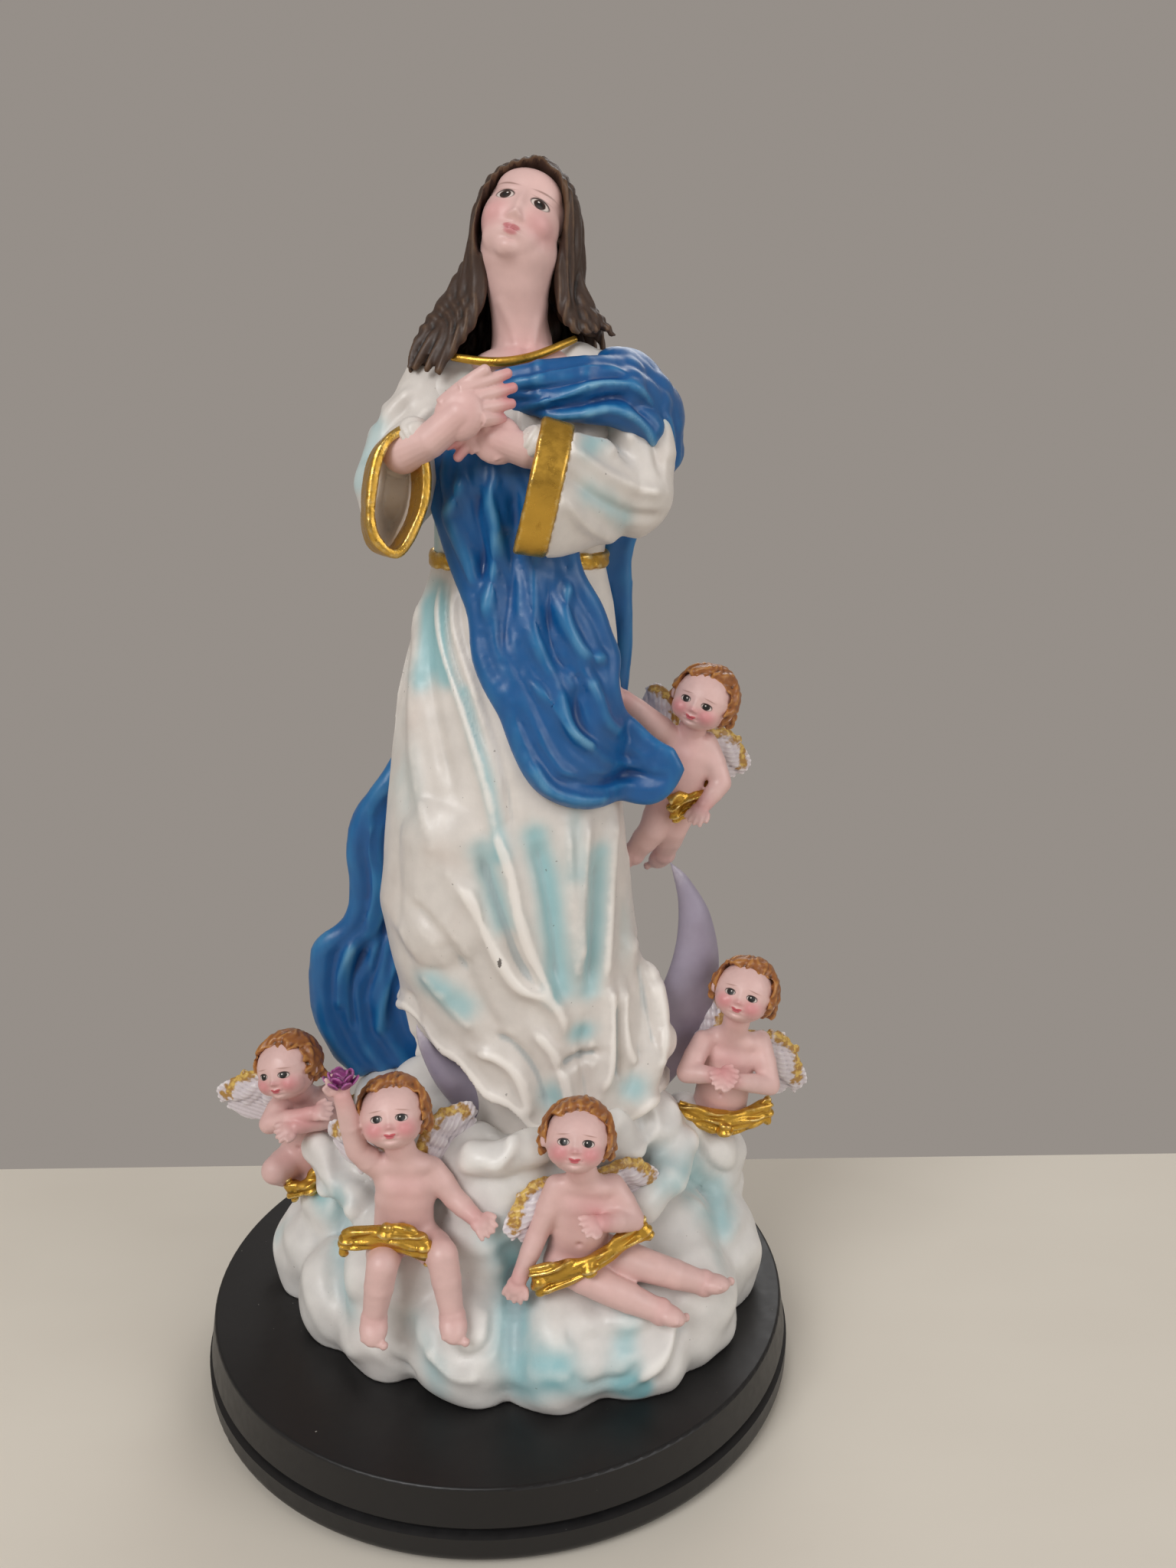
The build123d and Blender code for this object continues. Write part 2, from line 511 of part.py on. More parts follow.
for cherub_name, pose in CHERUBS.items():
    carriers = carried_by[cherub_name]
    with BuildPart() as cherub_body:
        limbs(
            ([pose["head"], pose["chest"]], [CHERUB_HEAD_RADIUS, CHERUB_NECK_RADIUS]),
            ([pose["chest"], pose["hips"]], [CHERUB_CHEST_RADIUS, CHERUB_HIP_RADIUS]),
            (pose["right_arm"], CHERUB_ARM_RADII),
            (pose["left_arm"], CHERUB_ARM_RADII),
            (pose["right_leg"], CHERUB_LEG_RADII),
            (pose["left_leg"], CHERUB_LEG_RADII),
        )
        if cherub_name == "flying_cherub":
            clear_of(*carriers)
    hand_in(cherub_body, f"{cherub_name}_body")

    with BuildPart() as cherub_hair:
        with Locations(pose["head"]):
            Sphere(CHERUB_HEAD_RADIUS * BALL_SWELL + CHERUB_HAIR_THICKNESS)
        with Locations(Plane(origin=pose["head"], z_dir=pose["look"])):
            Cylinder(CHERUB_FACE_RADIUS, CHERUB_HEAD_RADIUS * 2, align=FROM_START, mode=Mode.SUBTRACT)
        clear_of(cherub_body)
    hand_in(cherub_hair, f"{cherub_name}_hair")

    with BuildPart() as cherub_cloth:
        limbs((pose["cloth"], [CLOTH_RADIUS] * len(pose["cloth"])))
        clear_of(cherub_body)
    hand_in(cherub_cloth, f"{cherub_name}_cloth")

    with BuildPart() as right_wing:
        wing(pose["chest"], pose["right_wing_tip"], -1)
        clear_of(cherub_body, cherub_hair, cherub_cloth, *carriers)
    hand_in(right_wing, f"{cherub_name}_right_wing")

    with BuildPart() as left_wing:
        wing(pose["chest"], pose["left_wing_tip"], 1)
        clear_of(cherub_body, cherub_hair, cherub_cloth, right_wing, *carriers)
    hand_in(left_wing, f"{cherub_name}_left_wing")

    if cherub_name != "flying_cherub":
        on_the_cloud += [cherub_body, cherub_hair, cherub_cloth, right_wing, left_wing]

    if cherub_name == "rose_cherub":
        raised_hand = Vector(*pose["right_arm"][-1])
        with BuildPart() as rose:
            with Locations(raised_hand + Vector(0, 0, CHERUB_ARM_RADII[-1] + ROSE_RADIUS - ROSE_PETAL_RADIUS)):
                Sphere(ROSE_RADIUS)
                Torus(ROSE_RADIUS, ROSE_PETAL_RADIUS)
            clear_of(cherub_body)
        hand_in(rose, "rose")

# ---------------------------------------------------------------- cloud
with BuildPart() as cloud_base:
    for x, y, z, radius in CLOUD_LOBES:
        with Locations((x, y, z)):
            Sphere(radius)
    split(bisect_by=Plane.XY, keep=Keep.TOP)
    clear_of(*on_the_cloud)
hand_in(cloud_base, "cloud_base")
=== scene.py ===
"""Madonna statuette in cold-cast painted resin: a robed Madonna carried up on a cloud by five cherubs, on a
turned and lacquered plinth.  The finished pieces are modelled over the frame and carried by it."""
import json
import math

import bpy
import numpy as np
from mathutils import Matrix, Vector

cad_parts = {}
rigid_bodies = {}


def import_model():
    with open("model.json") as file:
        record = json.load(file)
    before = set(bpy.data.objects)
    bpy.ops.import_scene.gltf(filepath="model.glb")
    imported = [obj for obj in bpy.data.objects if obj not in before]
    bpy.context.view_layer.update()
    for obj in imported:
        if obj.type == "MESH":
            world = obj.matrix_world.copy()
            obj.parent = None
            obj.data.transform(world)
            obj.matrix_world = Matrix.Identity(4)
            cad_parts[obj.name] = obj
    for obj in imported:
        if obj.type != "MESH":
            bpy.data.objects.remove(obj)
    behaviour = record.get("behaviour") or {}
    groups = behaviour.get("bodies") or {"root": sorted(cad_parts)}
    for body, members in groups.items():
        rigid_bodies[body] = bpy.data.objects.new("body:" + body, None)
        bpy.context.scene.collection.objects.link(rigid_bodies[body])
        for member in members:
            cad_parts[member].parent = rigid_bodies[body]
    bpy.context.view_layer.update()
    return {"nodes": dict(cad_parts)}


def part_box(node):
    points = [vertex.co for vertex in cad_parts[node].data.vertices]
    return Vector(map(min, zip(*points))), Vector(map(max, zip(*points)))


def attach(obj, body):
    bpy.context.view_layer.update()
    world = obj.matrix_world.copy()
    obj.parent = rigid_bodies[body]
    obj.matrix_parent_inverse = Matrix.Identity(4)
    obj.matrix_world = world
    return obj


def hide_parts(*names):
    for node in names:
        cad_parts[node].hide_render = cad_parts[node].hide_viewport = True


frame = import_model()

for shown in bpy.data.objects:
    shown.select_set(False)

bl_info = {
    "name": "Madonna statuette",
    "version": (1, 0, 0),
    "blender": (4, 5, 0),
    "location": "3D View > Sidebar > Statuette",
    "description": "Models the painted resin Madonna, her cloud and her five cherubs over the frame",
    "category": "Add Mesh",
}

MM = 0.001
PLINTH_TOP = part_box("plinth")[1].z / MM
# Voxels of the skins that no size of the panel sets, in millimetres.
GRAINS = {
    "robe": 0.7, "bodice": 0.6, "moon": 0.55, "sleeve": 0.5, "inner_sleeve": 0.4, "belt": 0.4, "hair": 0.4,
    "cuff": 0.35, "locks": 0.34, "feathers": 0.34, "head": 0.33, "hand": 0.28, "loincloth": 0.28,
    "neckline": 0.22, "rose": 0.2,
}


# ---------------------------------------------------------------- shared modelling steps
def pick(*pieces):
    """Select only these pieces, the last one active."""
    for other in bpy.context.selected_objects:
        other.select_set(False)
    for piece in pieces:
        piece.select_set(True)
    bpy.context.view_layer.objects.active = pieces[-1]


def points_of(piece):
    """The piece's vertices in millimetres."""
    flat = np.empty(len(piece.data.vertices) * 3)
    piece.data.vertices.foreach_get("co", flat)
    return flat.reshape(-1, 3) / MM


def move_points(piece, points):
    """Put the piece's vertices at these places in millimetres."""
    piece.data.vertices.foreach_set("co", (points * MM).ravel())
    piece.data.update()


def normals_of(piece):
    """The way that each vertex faces."""
    flat = np.empty(len(piece.data.vertices) * 3, np.float32)
    piece.data.vertex_normals.foreach_get("vector", flat)
    return flat.reshape(-1, 3).astype(float)


def swell(piece, heights):
    """Move each vertex outward by its height in millimetres."""
    move_points(piece, points_of(piece) + normals_of(piece) * heights[:, None])


def unit(vector):
    """The same way with a length of one."""
    vector = np.asarray(vector, float)
    return vector / np.linalg.norm(vector)


def lifted(point):
    """A point measured from the plinth's top, as the castings are, put at its height in the frame."""
    return np.array([point[0], point[1], point[2] + PLINTH_TOP], float)


def smoothstep(values, low, high):
    """An even rise from 0 to 1 between two values."""
    t = np.clip((values - low) / (high - low), 0, 1)
    return t * t * (3 - 2 * t)


def near(points, place, spread):
    """1 at a place and less around it, where spread says how far in square millimetres."""
    return np.exp(-((points - np.asarray(place, float)) ** 2).sum(1) / spread)


def ripple(points, size, seed):
    """Smooth uneven variation from -1 to 1 with lumps of about that size, the same every time."""
    rng = np.random.default_rng(seed)
    waves = 7
    total = np.zeros(len(points))
    for _ in range(waves):
        direction = unit(rng.normal(size=3))
        pitch = rng.uniform(0.6, 1.5)
        total += np.sin(points @ direction * (2 * np.pi / size) * pitch + rng.uniform(0, 6.3))
    return total / waves ** 0.5 / 1.2


def ball(centre, radii, axes=None, segments=24):
    """A round added at its place, drawn out to three radii along its own axes."""
    bpy.ops.mesh.primitive_uv_sphere_add(segments=segments, ring_count=segments * 2 // 3, radius=1)
    piece = bpy.context.object
    radii = [radii] * 3 if np.isscalar(radii) else radii
    frame_axes = np.eye(3) if axes is None else np.array(axes, float)
    matrix = np.eye(4)
    matrix[:3, :3] = (frame_axes.T * np.array(radii)) * MM
    matrix[:3, 3] = np.array(centre) * MM
    piece.data.transform(Matrix(matrix.tolist()))
    return piece


def tubes(paths, sides=3, steps=4):
    """Tapered round bars swept along smooth lines: each path is its points and the radius at each one."""
    line = bpy.data.curves.new("bars", "CURVE")
    line.dimensions, line.bevel_depth, line.bevel_resolution = "3D", MM, sides
    line.use_fill_caps, line.resolution_u = True, steps
    for points, radii in paths:
        spline = line.splines.new("NURBS")
        spline.points.add(len(points) - 1)
        for knot, point, radius in zip(spline.points, points, radii):
            knot.co = (point[0] * MM, point[1] * MM, point[2] * MM, 1)
            knot.radius = radius
        spline.order_u = min(3, len(points))
        spline.use_endpoint_u = True
    piece = bpy.data.objects.new("bars", line)
    bpy.context.scene.collection.objects.link(piece)
    pick(piece)
    bpy.ops.object.convert(target="MESH")
    return bpy.context.object


def limbs(chains):
    """Tapered limbs with rounded ends and joints."""
    parts = [tubes(chains, 8, 6)]
    for points, radii in chains:
        for point, radius in zip(points, radii):
            parts.append(ball(point, radius, segments=28))
    return parts


def lifted_limbs(*chains):
    """Limbs whose points are measured from the plinth's top."""
    return limbs([([lifted(p) for p in points], radii) for points, radii in chains])


def fuse(name, parts, voxel, smoothing=3):
    """Join parts into one closed skin of even grain and soften it."""
    pick(*parts)
    if len(parts) > 1:
        bpy.ops.object.join()
    piece = bpy.context.object
    piece.name = piece.data.name = name
    skin = piece.modifiers.new("skin", "REMESH")
    skin.mode, skin.voxel_size = "VOXEL", voxel * MM
    bpy.ops.object.modifier_apply(modifier=skin.name)
    if smoothing:
        soften = piece.modifiers.new("soften", "SMOOTH")
        soften.factor, soften.iterations = 0.5, smoothing
        bpy.ops.object.modifier_apply(modifier=soften.name)
    return piece


def neighbour_sum(values, pairs):
    """The sum of each vertex's neighbours' values."""
    count = len(values)
    first, second = pairs.T
    return np.bincount(first, values[second], count) + np.bincount(second, values[first], count)


def evened(piece, values, rounds):
    """Values per vertex, spread over their neighbours that many times."""
    pairs = np.empty(len(piece.data.edges) * 2, np.int32)
    piece.data.edges.foreach_get("vertices", pairs)
    pairs = pairs.reshape(-1, 2)
    degree = np.maximum(neighbour_sum(np.ones(len(values)), pairs), 1)
    values = values.astype(float).copy()
    for _ in range(rounds):
        if values.ndim == 1:
            values = 0.4 * values + 0.6 * neighbour_sum(values, pairs) / degree
        else:
            spread = np.column_stack([neighbour_sum(column, pairs) for column in values.T])
            values = 0.4 * values + 0.6 * spread / degree[:, None]
    return values


def note(piece, name, values):
    """Keep values on the piece's vertices for its finish to read."""
    kind = "FLOAT" if values.ndim == 1 else "FLOAT_VECTOR"
    layer = piece.data.attributes.get(name) or piece.data.attributes.new(name, kind, "POINT")
    flat = np.ascontiguousarray(values, np.float32).ravel()
    layer.data.foreach_set("value" if values.ndim == 1 else "vector", flat)


def note_plain(piece, *names):
    """Keep zeros under these names, where a shared finish reads them."""
    for name in names:
        note(piece, name, np.zeros(len(piece.data.vertices)))


def note_relief(piece, rounds, scale):
    """Keep how far each point stands proud of its surroundings, over a scale: under 0 in a hollow."""
    points = points_of(piece)
    proud = ((points - evened(piece, points, rounds)) * normals_of(piece)).sum(1)
    note(piece, "relief", np.clip(proud / scale, -2, 2))


def smooth_line(points, step=0.8):
    """A rounded line through points, with even short steps."""
    points = np.array(points, float)
    padded = np.vstack([2 * points[0] - points[1], points, 2 * points[-1] - points[-2]])
    line = []
    for i in range(1, len(padded) - 2):
        a, b, c, d = padded[i - 1:i + 3]
        for t in np.linspace(0, 1, max(2, int(np.linalg.norm(c - b) / step) + 1), endpoint=False):
            line.append(0.5 * (2 * b + (c - a) * t + (2 * a - 5 * b + 4 * c - d) * t * t
                               + (3 * b - a - 3 * c + d) * t ** 3))
    line.append(points[-1])
    return np.array(line)


def along_line(points, line):
    """Distance of each point to a line, and how far along the line it is nearest, from 0 to 1."""
    best = np.full(len(points), 1e9)
    place = np.zeros(len(points))
    for i in range(len(line) - 1):
        a, b = line[i], line[i + 1]
        run = b - a
        t = np.clip(((points - a) @ run) / max(run @ run, 1e-9), 0, 1)
        far = ((points - a - t[:, None] * run) ** 2).sum(1)
        nearer = far < best
        best[nearer] = far[nearer]
        place[nearer] = (i + t[nearer]) / (len(line) - 1)
    return np.sqrt(best), place


def strokes(piece, lines, facing=0.15):
    """Raise or sink soft ridges along lines seen from the front: each is its points, width and height."""
    points, normals = points_of(piece), normals_of(piece)
    faces = smoothstep(-normals[:, 1], 0, facing)
    flat = points[:, [0, 2]]
    moved = np.zeros(len(points))
    for outline, width, height in lines:
        line = smooth_line(outline)
        low, high = line.min(0) - 3 * width, line.max(0) + 3 * width
        near = np.flatnonzero(((flat > low) & (flat < high)).all(1) & (faces > 0))
        if not len(near):
            continue
        far, place = along_line(flat[near], line)
        taper = smoothstep(place, 0, 0.15) * smoothstep(-place, -1, -0.85) * 0.75 + 0.25
        moved[near] += height * taper * np.exp(-(far / width) ** 2) * faces[near]
    move_points(piece, points + normals * moved[:, None])


def finish(piece, slot, material, *nodes):
    """Hand a piece over: smooth shaded, in its finish, standing for its nodes of the frame."""
    piece.data.materials.clear()
    piece.data.materials.append(material)
    pick(piece)
    bpy.ops.object.shade_smooth()
    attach(piece, "root")
    if nodes:
        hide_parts(*nodes)
    return piece


# ---------------------------------------------------------------- shared finishing steps
def linear(hex_colour):
    """An sRGB hex colour as linear red, green, blue and alpha."""
    channels = [int(hex_colour[i:i + 2], 16) / 255 for i in (1, 3, 5)]
    return [c / 12.92 if c <= 0.04045 else ((c + 0.055) / 1.055) ** 2.4 for c in channels] + [1.0]


def add_node(tree, kind, inputs=None, **settings):
    """Add a node with its settings, its values and its links."""
    node = tree.nodes.new("ShaderNode" + kind)
    for key, value in settings.items():
        setattr(node, key, value)
    for key, value in (inputs or {}).items():
        if isinstance(value, bpy.types.NodeSocket):
            tree.links.new(value, node.inputs[key])
        else:
            node.inputs[key].default_value = value
    return node


def paint_over(tree, colour, mask, hex_colour, amount=1.0):
    """Another colour brushed over what is there, where the mask says."""
    strength = add_node(tree, "Math", {0: mask, 1: amount}, operation="MULTIPLY")
    over = add_node(tree, "Mix", {0: strength.outputs[0], 6: colour, 7: linear(hex_colour)},
                    data_type="RGBA")
    return over.outputs[2]


def layer_mask(tree, place, attribute, low, high, grain, uneven, stretch):
    """Where a coat of paint lies: from a kept value, broken up by uneven brushing."""
    total = None
    if attribute:
        total = add_node(tree, "Attribute", attribute_name=attribute).outputs["Fac"]
    if grain:
        drawn = add_node(tree, "Mapping", {0: place, 3: stretch})
        patches = {"Vector": drawn.outputs[0], "Scale": 1 / (grain * MM), "Detail": 3.0}
        speckle = add_node(tree, "TexNoise", patches)
        swing = add_node(tree, "Math", {0: speckle.outputs[0], 1: -0.5}, operation="ADD")
        swing = add_node(tree, "Math", {0: swing.outputs[0], 1: uneven}, operation="MULTIPLY")
        if total is None:
            total = swing.outputs[0]
        else:
            total = add_node(tree, "Math", {0: total, 1: swing.outputs[0]}, operation="ADD").outputs[0]
    return add_node(tree, "MapRange", {0: total, 1: low, 2: high},
                    interpolation_type="SMOOTHSTEP").outputs[0]


def painted(name, base, coats, roughness, metallic=0.0, coat=0.0, grain=0.4, depth=0.02, face=None,
            rough_swing=0.12):
    """A painted or gilt casting: a base colour, coats over it, and the fine tooth of a brushed surface.

    Each coat is its colour, the kept value it follows, the low and high of its edge, the size of its uneven
    patches in millimetres, how much they break it up, how far they are drawn out, and its strength.
    """
    material = bpy.data.materials.new(name)
    material.use_nodes = True
    tree = material.node_tree
    shader = tree.nodes["Principled BSDF"]
    place = add_node(tree, "TexCoord").outputs["Object"]
    shade = add_node(tree, "TexNoise", {"Vector": place, "Scale": 1 / (6 * MM), "Detail": 4.0})
    tint = add_node(tree, "MapRange", {0: shade.outputs[0], 1: 0.3, 2: 0.7, 3: 0.93, 4: 1.06})
    ground = add_node(tree, "VectorMath", {0: linear(base)[:3], 3: tint.outputs[0]}, operation="SCALE")
    colour = ground.outputs[0]
    for hex_colour, attribute, low, high, size, uneven, stretch, amount in coats:
        mask = layer_mask(tree, place, attribute, low, high, size, uneven, stretch)
        colour = paint_over(tree, colour, mask, hex_colour, amount)
    if face:
        colour = face_paint(tree, colour, face)
    tree.links.new(colour, shader.inputs["Base Color"])
    mottle = add_node(tree, "TexNoise", {"Vector": place, "Scale": 1 / (2.5 * MM), "Detail": 4.0})
    rough = add_node(tree, "MapRange", {0: mottle.outputs[0], 1: 0.3, 2: 0.7,
                                        3: roughness - rough_swing, 4: roughness + rough_swing})
    tree.links.new(rough.outputs[0], shader.inputs["Roughness"])
    shader.inputs["Metallic"].default_value = metallic
    shader.inputs["Coat Weight"].default_value = coat
    shader.inputs["Coat Roughness"].default_value = 0.25
    if depth:
        tooth = add_node(tree, "TexNoise", {"Vector": place, "Scale": 1 / (grain * MM), "Detail": 3.0})
        bump = add_node(tree, "Bump", {"Height": tooth.outputs[0], "Distance": depth * MM,
                                       "Strength": 1.0})
        tree.links.new(bump.outputs[0], shader.inputs["Normal"])
    return material


def face_paint(tree, colour, features):
    """Eyes, brows, lips and blush brushed on by hand, each an oval on the face and mirrored across it."""
    spot = add_node(tree, "Attribute", attribute_name="face")
    parts = add_node(tree, "SeparateXYZ", {0: spot.outputs["Vector"]})
    across = add_node(tree, "Math", {0: parts.outputs[0]}, operation="ABSOLUTE")
    half = add_node(tree, "CombineXYZ", {0: across.outputs[0], 1: parts.outputs[1], 2: parts.outputs[2]})
    for hex_colour, x, y, width, height, turn, soft, amount in features:
        oval = add_node(tree, "Mapping", {0: half.outputs[0], 1: (x, y, 0), 2: (0, 0, math.radians(turn)),
                                          3: (width, height, 1)}, vector_type="TEXTURE")
        far = add_node(tree, "VectorMath", {0: oval.outputs[0]}, operation="LENGTH")
        edge = {0: far.outputs["Value"], 1: 1 - soft, 2: 1 + soft, 3: 1.0, 4: 0.0}
        mask = add_node(tree, "MapRange", edge, interpolation_type="SMOOTHSTEP")
        colour = paint_over(tree, colour, mask.outputs[0], hex_colour, amount)
    return colour


# ---------------------------------------------------------------- sizes and colours a user may change
class StatuetteColours(bpy.types.PropertyGroup):
    """The paints of the statuette."""

    robe: bpy.props.StringProperty(name="Robe", description="Satin cream of the robe", default="#d9d3cd")
    wash: bpy.props.StringProperty(
        name="Wash", description="Aqua airbrushed into folds",
        default="#7dbdc6")
    mantle: bpy.props.StringProperty(
        name="Mantle", description="Deep blue of the mantle",
        default="#075491")
    # Pale blue dry-brushed on the mantle's folds, which also serves as their painted highlight.
    mantle_dry_brush_and_highlight: bpy.props.StringProperty(
        name="Mantle dry brush and highlight", description="Pale blue dry-brushed on folds, also their painted highlight",
        default="#86bcd8")
    gilt: bpy.props.StringProperty(
        name="Gilt", description="Gold paint of trims and loincloths",
        default="#c99d40")
    skin: bpy.props.StringProperty(name="Skin", description="Flesh tone", default="#ddb9b4")
    blush: bpy.props.StringProperty(name="Blush", description="Airbrushed flush", default="#d0737b")


class StatuetteSizes(bpy.types.PropertyGroup):
    """The grain of the modelling, the cherubs' heads and the depth of the folds."""

    skin_grain: bpy.props.FloatProperty(
        name="Cherub grain", description="Voxel of the cherubs' skin, in millimetres",
        default=0.33, min=0.2, max=1.0)
    cloth_grain: bpy.props.FloatProperty(
        name="Cloth grain", description="Voxel of the mantle's cloth, in millimetres",
        default=0.55, min=0.3, max=2.0)
    cloud_grain: bpy.props.FloatProperty(
        name="Cloud grain", description="Voxel of the cloud, in millimetres",
        default=0.96, min=0.4, max=2.0)
    cherub_head: bpy.props.FloatProperty(
        name="Cherub head", description="Radius of a cherub's head, in millimetres",
        default=7.8, min=5.0, max=10.0)
    fold_depth: bpy.props.FloatProperty(
        name="Fold depth", description="Depth of the robe's folds against the carved one",
        default=1.0, min=0.0, max=2.0)


CHILD_FACE = [
    # colour, across, up, half width, half height, turn, softness, strength: in head radii from the middle
    ("#cf6f78", 0.45, -0.36, 0.30, 0.24, 0, 0.75, 0.62),
    ("#cf6f78", 0.0, -0.27, 0.12, 0.10, 0, 0.8, 0.35),
    ("#8a5a44", 0.38, 0.175, 0.17, 0.018, -9, 0.6, 0.50),
    ("#6b4638", 0.375, 0.035, 0.155, 0.016, -8, 0.6, 0.60),
    ("#2c1711", 0.360, -0.040, 0.178, 0.108, -6, 0.12, 1.0),
    ("#d9cac4", 0.362, -0.054, 0.156, 0.080, -6, 0.12, 1.0),
    ("#1c0c07", 0.352, -0.046, 0.118, 0.100, 0, 0.10, 1.0),
    ("#040201", 0.352, -0.046, 0.080, 0.078, 0, 0.2, 1.0),
    # a painted highlight in each eye
    ("#f4ece6", 0.322, -0.012, 0.020, 0.020, 0, 0.3, 0.9),
    ("#c04450", 0.066, -0.508, 0.108, 0.040, 12, 0.25, 0.9),
    ("#c85663", 0.0, -0.565, 0.125, 0.048, 0, 0.3, 0.85),
    ("#8c3440", 0.0, -0.535, 0.170, 0.010, 0, 0.5, 0.7),
]
CALM_FACE = [
    ("#cf6f78", 0.42, -0.34, 0.24, 0.22, 0, 0.85, 0.34),
    ("#6f4a38", 0.33, 0.245, 0.18, 0.018, 5, 0.6, 0.60),
    ("#7a5546", 0.320, 0.122, 0.155, 0.014, 2, 0.6, 0.45),
    ("#2c1811", 0.318, 0.018, 0.172, 0.106, 0, 0.12, 1.0),
    ("#dccdc7", 0.318, 0.004, 0.152, 0.088, 0, 0.12, 1.0),
    ("#2c150c", 0.314, 0.004, 0.102, 0.098, 0, 0.10, 1.0),
    ("#060302", 0.314, 0.004, 0.056, 0.056, 0, 0.2, 1.0),
    # a painted highlight in each eye
    ("#f7f2ee", 0.286, 0.040, 0.018, 0.018, 0, 0.3, 0.9),
    ("#c0606a", 0.058, -0.592, 0.098, 0.038, 10, 0.30, 0.75),
    ("#c76d76", 0.0, -0.660, 0.115, 0.048, 0, 0.35, 0.70),
    ("#8f4049", 0.0, -0.625, 0.150, 0.010, 0, 0.5, 0.6),
]


def make_finishes(colours):
    """Every finish of the statuette, by name."""
    flat = (1, 1, 1)
    finishes = {}
    # Cold-cast resin under hand-brushed satin enamel: a matt cream ground with an even soft shine.
    finishes["robe"] = painted("Satin enamel on cast resin, cream", colours.robe, [
        ("#c9b3a8", None, 0.02, 0.30, 22.0, 1.0, flat, 0.35),
        (colours.wash, "wash", 0.05, 1.20, 7.0, 0.45, (1, 1, 0.5), 0.78),
        # Painted highlight: paler cream on the swells of the folds; painted shade: grey-blue in their
        # hollows.
        ("#f4efe9", "relief", 0.25, 0.9, 3.0, 0.5, flat, 0.75),
        ("#9aa9ad", "relief", -0.35, -1.2, 3.0, 0.3, flat, 0.55),
        ("#4a4440", "chip", 0.5, 0.6, 0.4, 0.4, flat, 0.9),
        ("#5d5650", None, 0.235, 0.26, 1.3, 1.0, flat, 0.55),
    ], roughness=0.42, coat=0.12, grain=0.5, depth=0.02)
    # Gloss blue enamel dry-brushed with pale blue, which also paints a chalky highlight on each fold's edge,
    # near white on the highest crests; the darker blue in the hollows is painted shade.
    finishes["mantle"] = painted("Gloss enamel on cast resin, blue", colours.mantle, [
        ("#06356e", "relief", -0.15, -0.8, 2.5, 0.4, flat, 0.8),
        ("#2478ad", "relief", 0.0, 0.7, 4.0, 0.7, (1, 1, 0.3), 0.75),
        (colours.mantle_dry_brush_and_highlight, "relief", 0.35, 1.5, 5.0, 1.2, (1, 1, 0.25), 0.70),
        ("#cfe2ea", "relief", 1.1, 1.9, 2.5, 1.0, (1, 1, 0.3), 0.5),
    ], roughness=0.42, coat=0.15, grain=0.7, depth=0.015)
    # Gold leaf paint with a pale painted highlight on the swells and brown painted shade in the hollows.
    finishes["gilt"] = painted("Gold leaf paint on cast resin", colours.gilt, [
        ("#7a5419", "relief", -0.15, -0.9, 1.2, 0.5, flat, 0.75),
        ("#ecd596", "relief", 0.15, 0.8, 1.0, 0.8, flat, 0.8),
        ("#8a5f1c", None, 0.08, 0.30, 2.4, 1.0, (1, 1, 0.4), 0.45),
    ], roughness=0.34, metallic=0.85, grain=0.5, depth=0.05, rough_swing=0.16)
    skin_coats = [
        (colours.blush, "blush", 0.0, 1.0, 5.0, 0.25, flat, 0.62),
        # Painted shade in the hollows and a paler painted highlight on the swells.
        ("#b88f8c", "relief", -0.15, -0.9, 1.5, 0.3, flat, 0.65),
        ("#ecd3cb", "relief", 0.5, 1.5, 2.0, 0.3, flat, 0.3),
    ]
    # Flesh enamel airbrushed over cast resin: matt, with a flush on cheeks, joints and fingers.
    finishes["child_skin"] = painted("Matt flesh enamel on cast resin, cherubs", colours.skin, skin_coats,
                                     roughness=0.48, coat=0.08, grain=0.4, depth=0.01, face=CHILD_FACE)
    finishes["calm_skin"] = painted("Matt flesh enamel on cast resin, Madonna", colours.skin, skin_coats,
                                    roughness=0.45, coat=0.10, grain=0.4, depth=0.008, face=CALM_FACE)
    # Brown enamel on the carved locks, with dark painted shade in the grooves and a paler painted highlight
    # on the crests.
    finishes["auburn"] = painted("Wiped enamel on carved locks, auburn", "#925828", [
        ("#4a2813", "relief", -0.05, -0.65, 1.0, 0.5, flat, 0.9),
        ("#b9803f", "relief", 0.10, 0.60, 1.2, 0.6, flat, 0.75),
    ], roughness=0.40, coat=0.15, grain=0.35, depth=0.03)
    # The same for the dark brown hair: painted shade in the grooves, painted highlight on the crests.
    finishes["dark_hair"] = painted("Wiped enamel on carved locks, dark brown", "#3c291e", [
        ("#160d09", "relief", -0.05, -0.6, 1.0, 0.5, flat, 0.9),
        ("#6d5138", "relief", 0.15, 0.8, 1.2, 0.6, flat, 0.6),
    ], roughness=0.55, coat=0.05, grain=0.35, depth=0.02)
    # Pearl enamel on carved feathers with gold leaf rubbed onto the upper edge, grey painted shade between
    # the feathers and a painted highlight on their crests.
    finishes["wing"] = painted("Pearl enamel on carved feathers", "#d6cdd3", [
        ("#8d8794", "relief", -0.10, -0.7, 0.8, 0.4, flat, 0.8),
        ("#f3eff0", "relief", 0.15, 0.6, 1.0, 0.4, flat, 0.75),
        ("#a97b24", "gilt", 0.45, 0.75, 1.8, 1.5, flat, 0.95),
        ("#e0bd62", "gilt", 0.70, 1.00, 1.2, 1.5, flat, 0.9),
    ], roughness=0.36, coat=0.2, grain=0.4, depth=0.03)
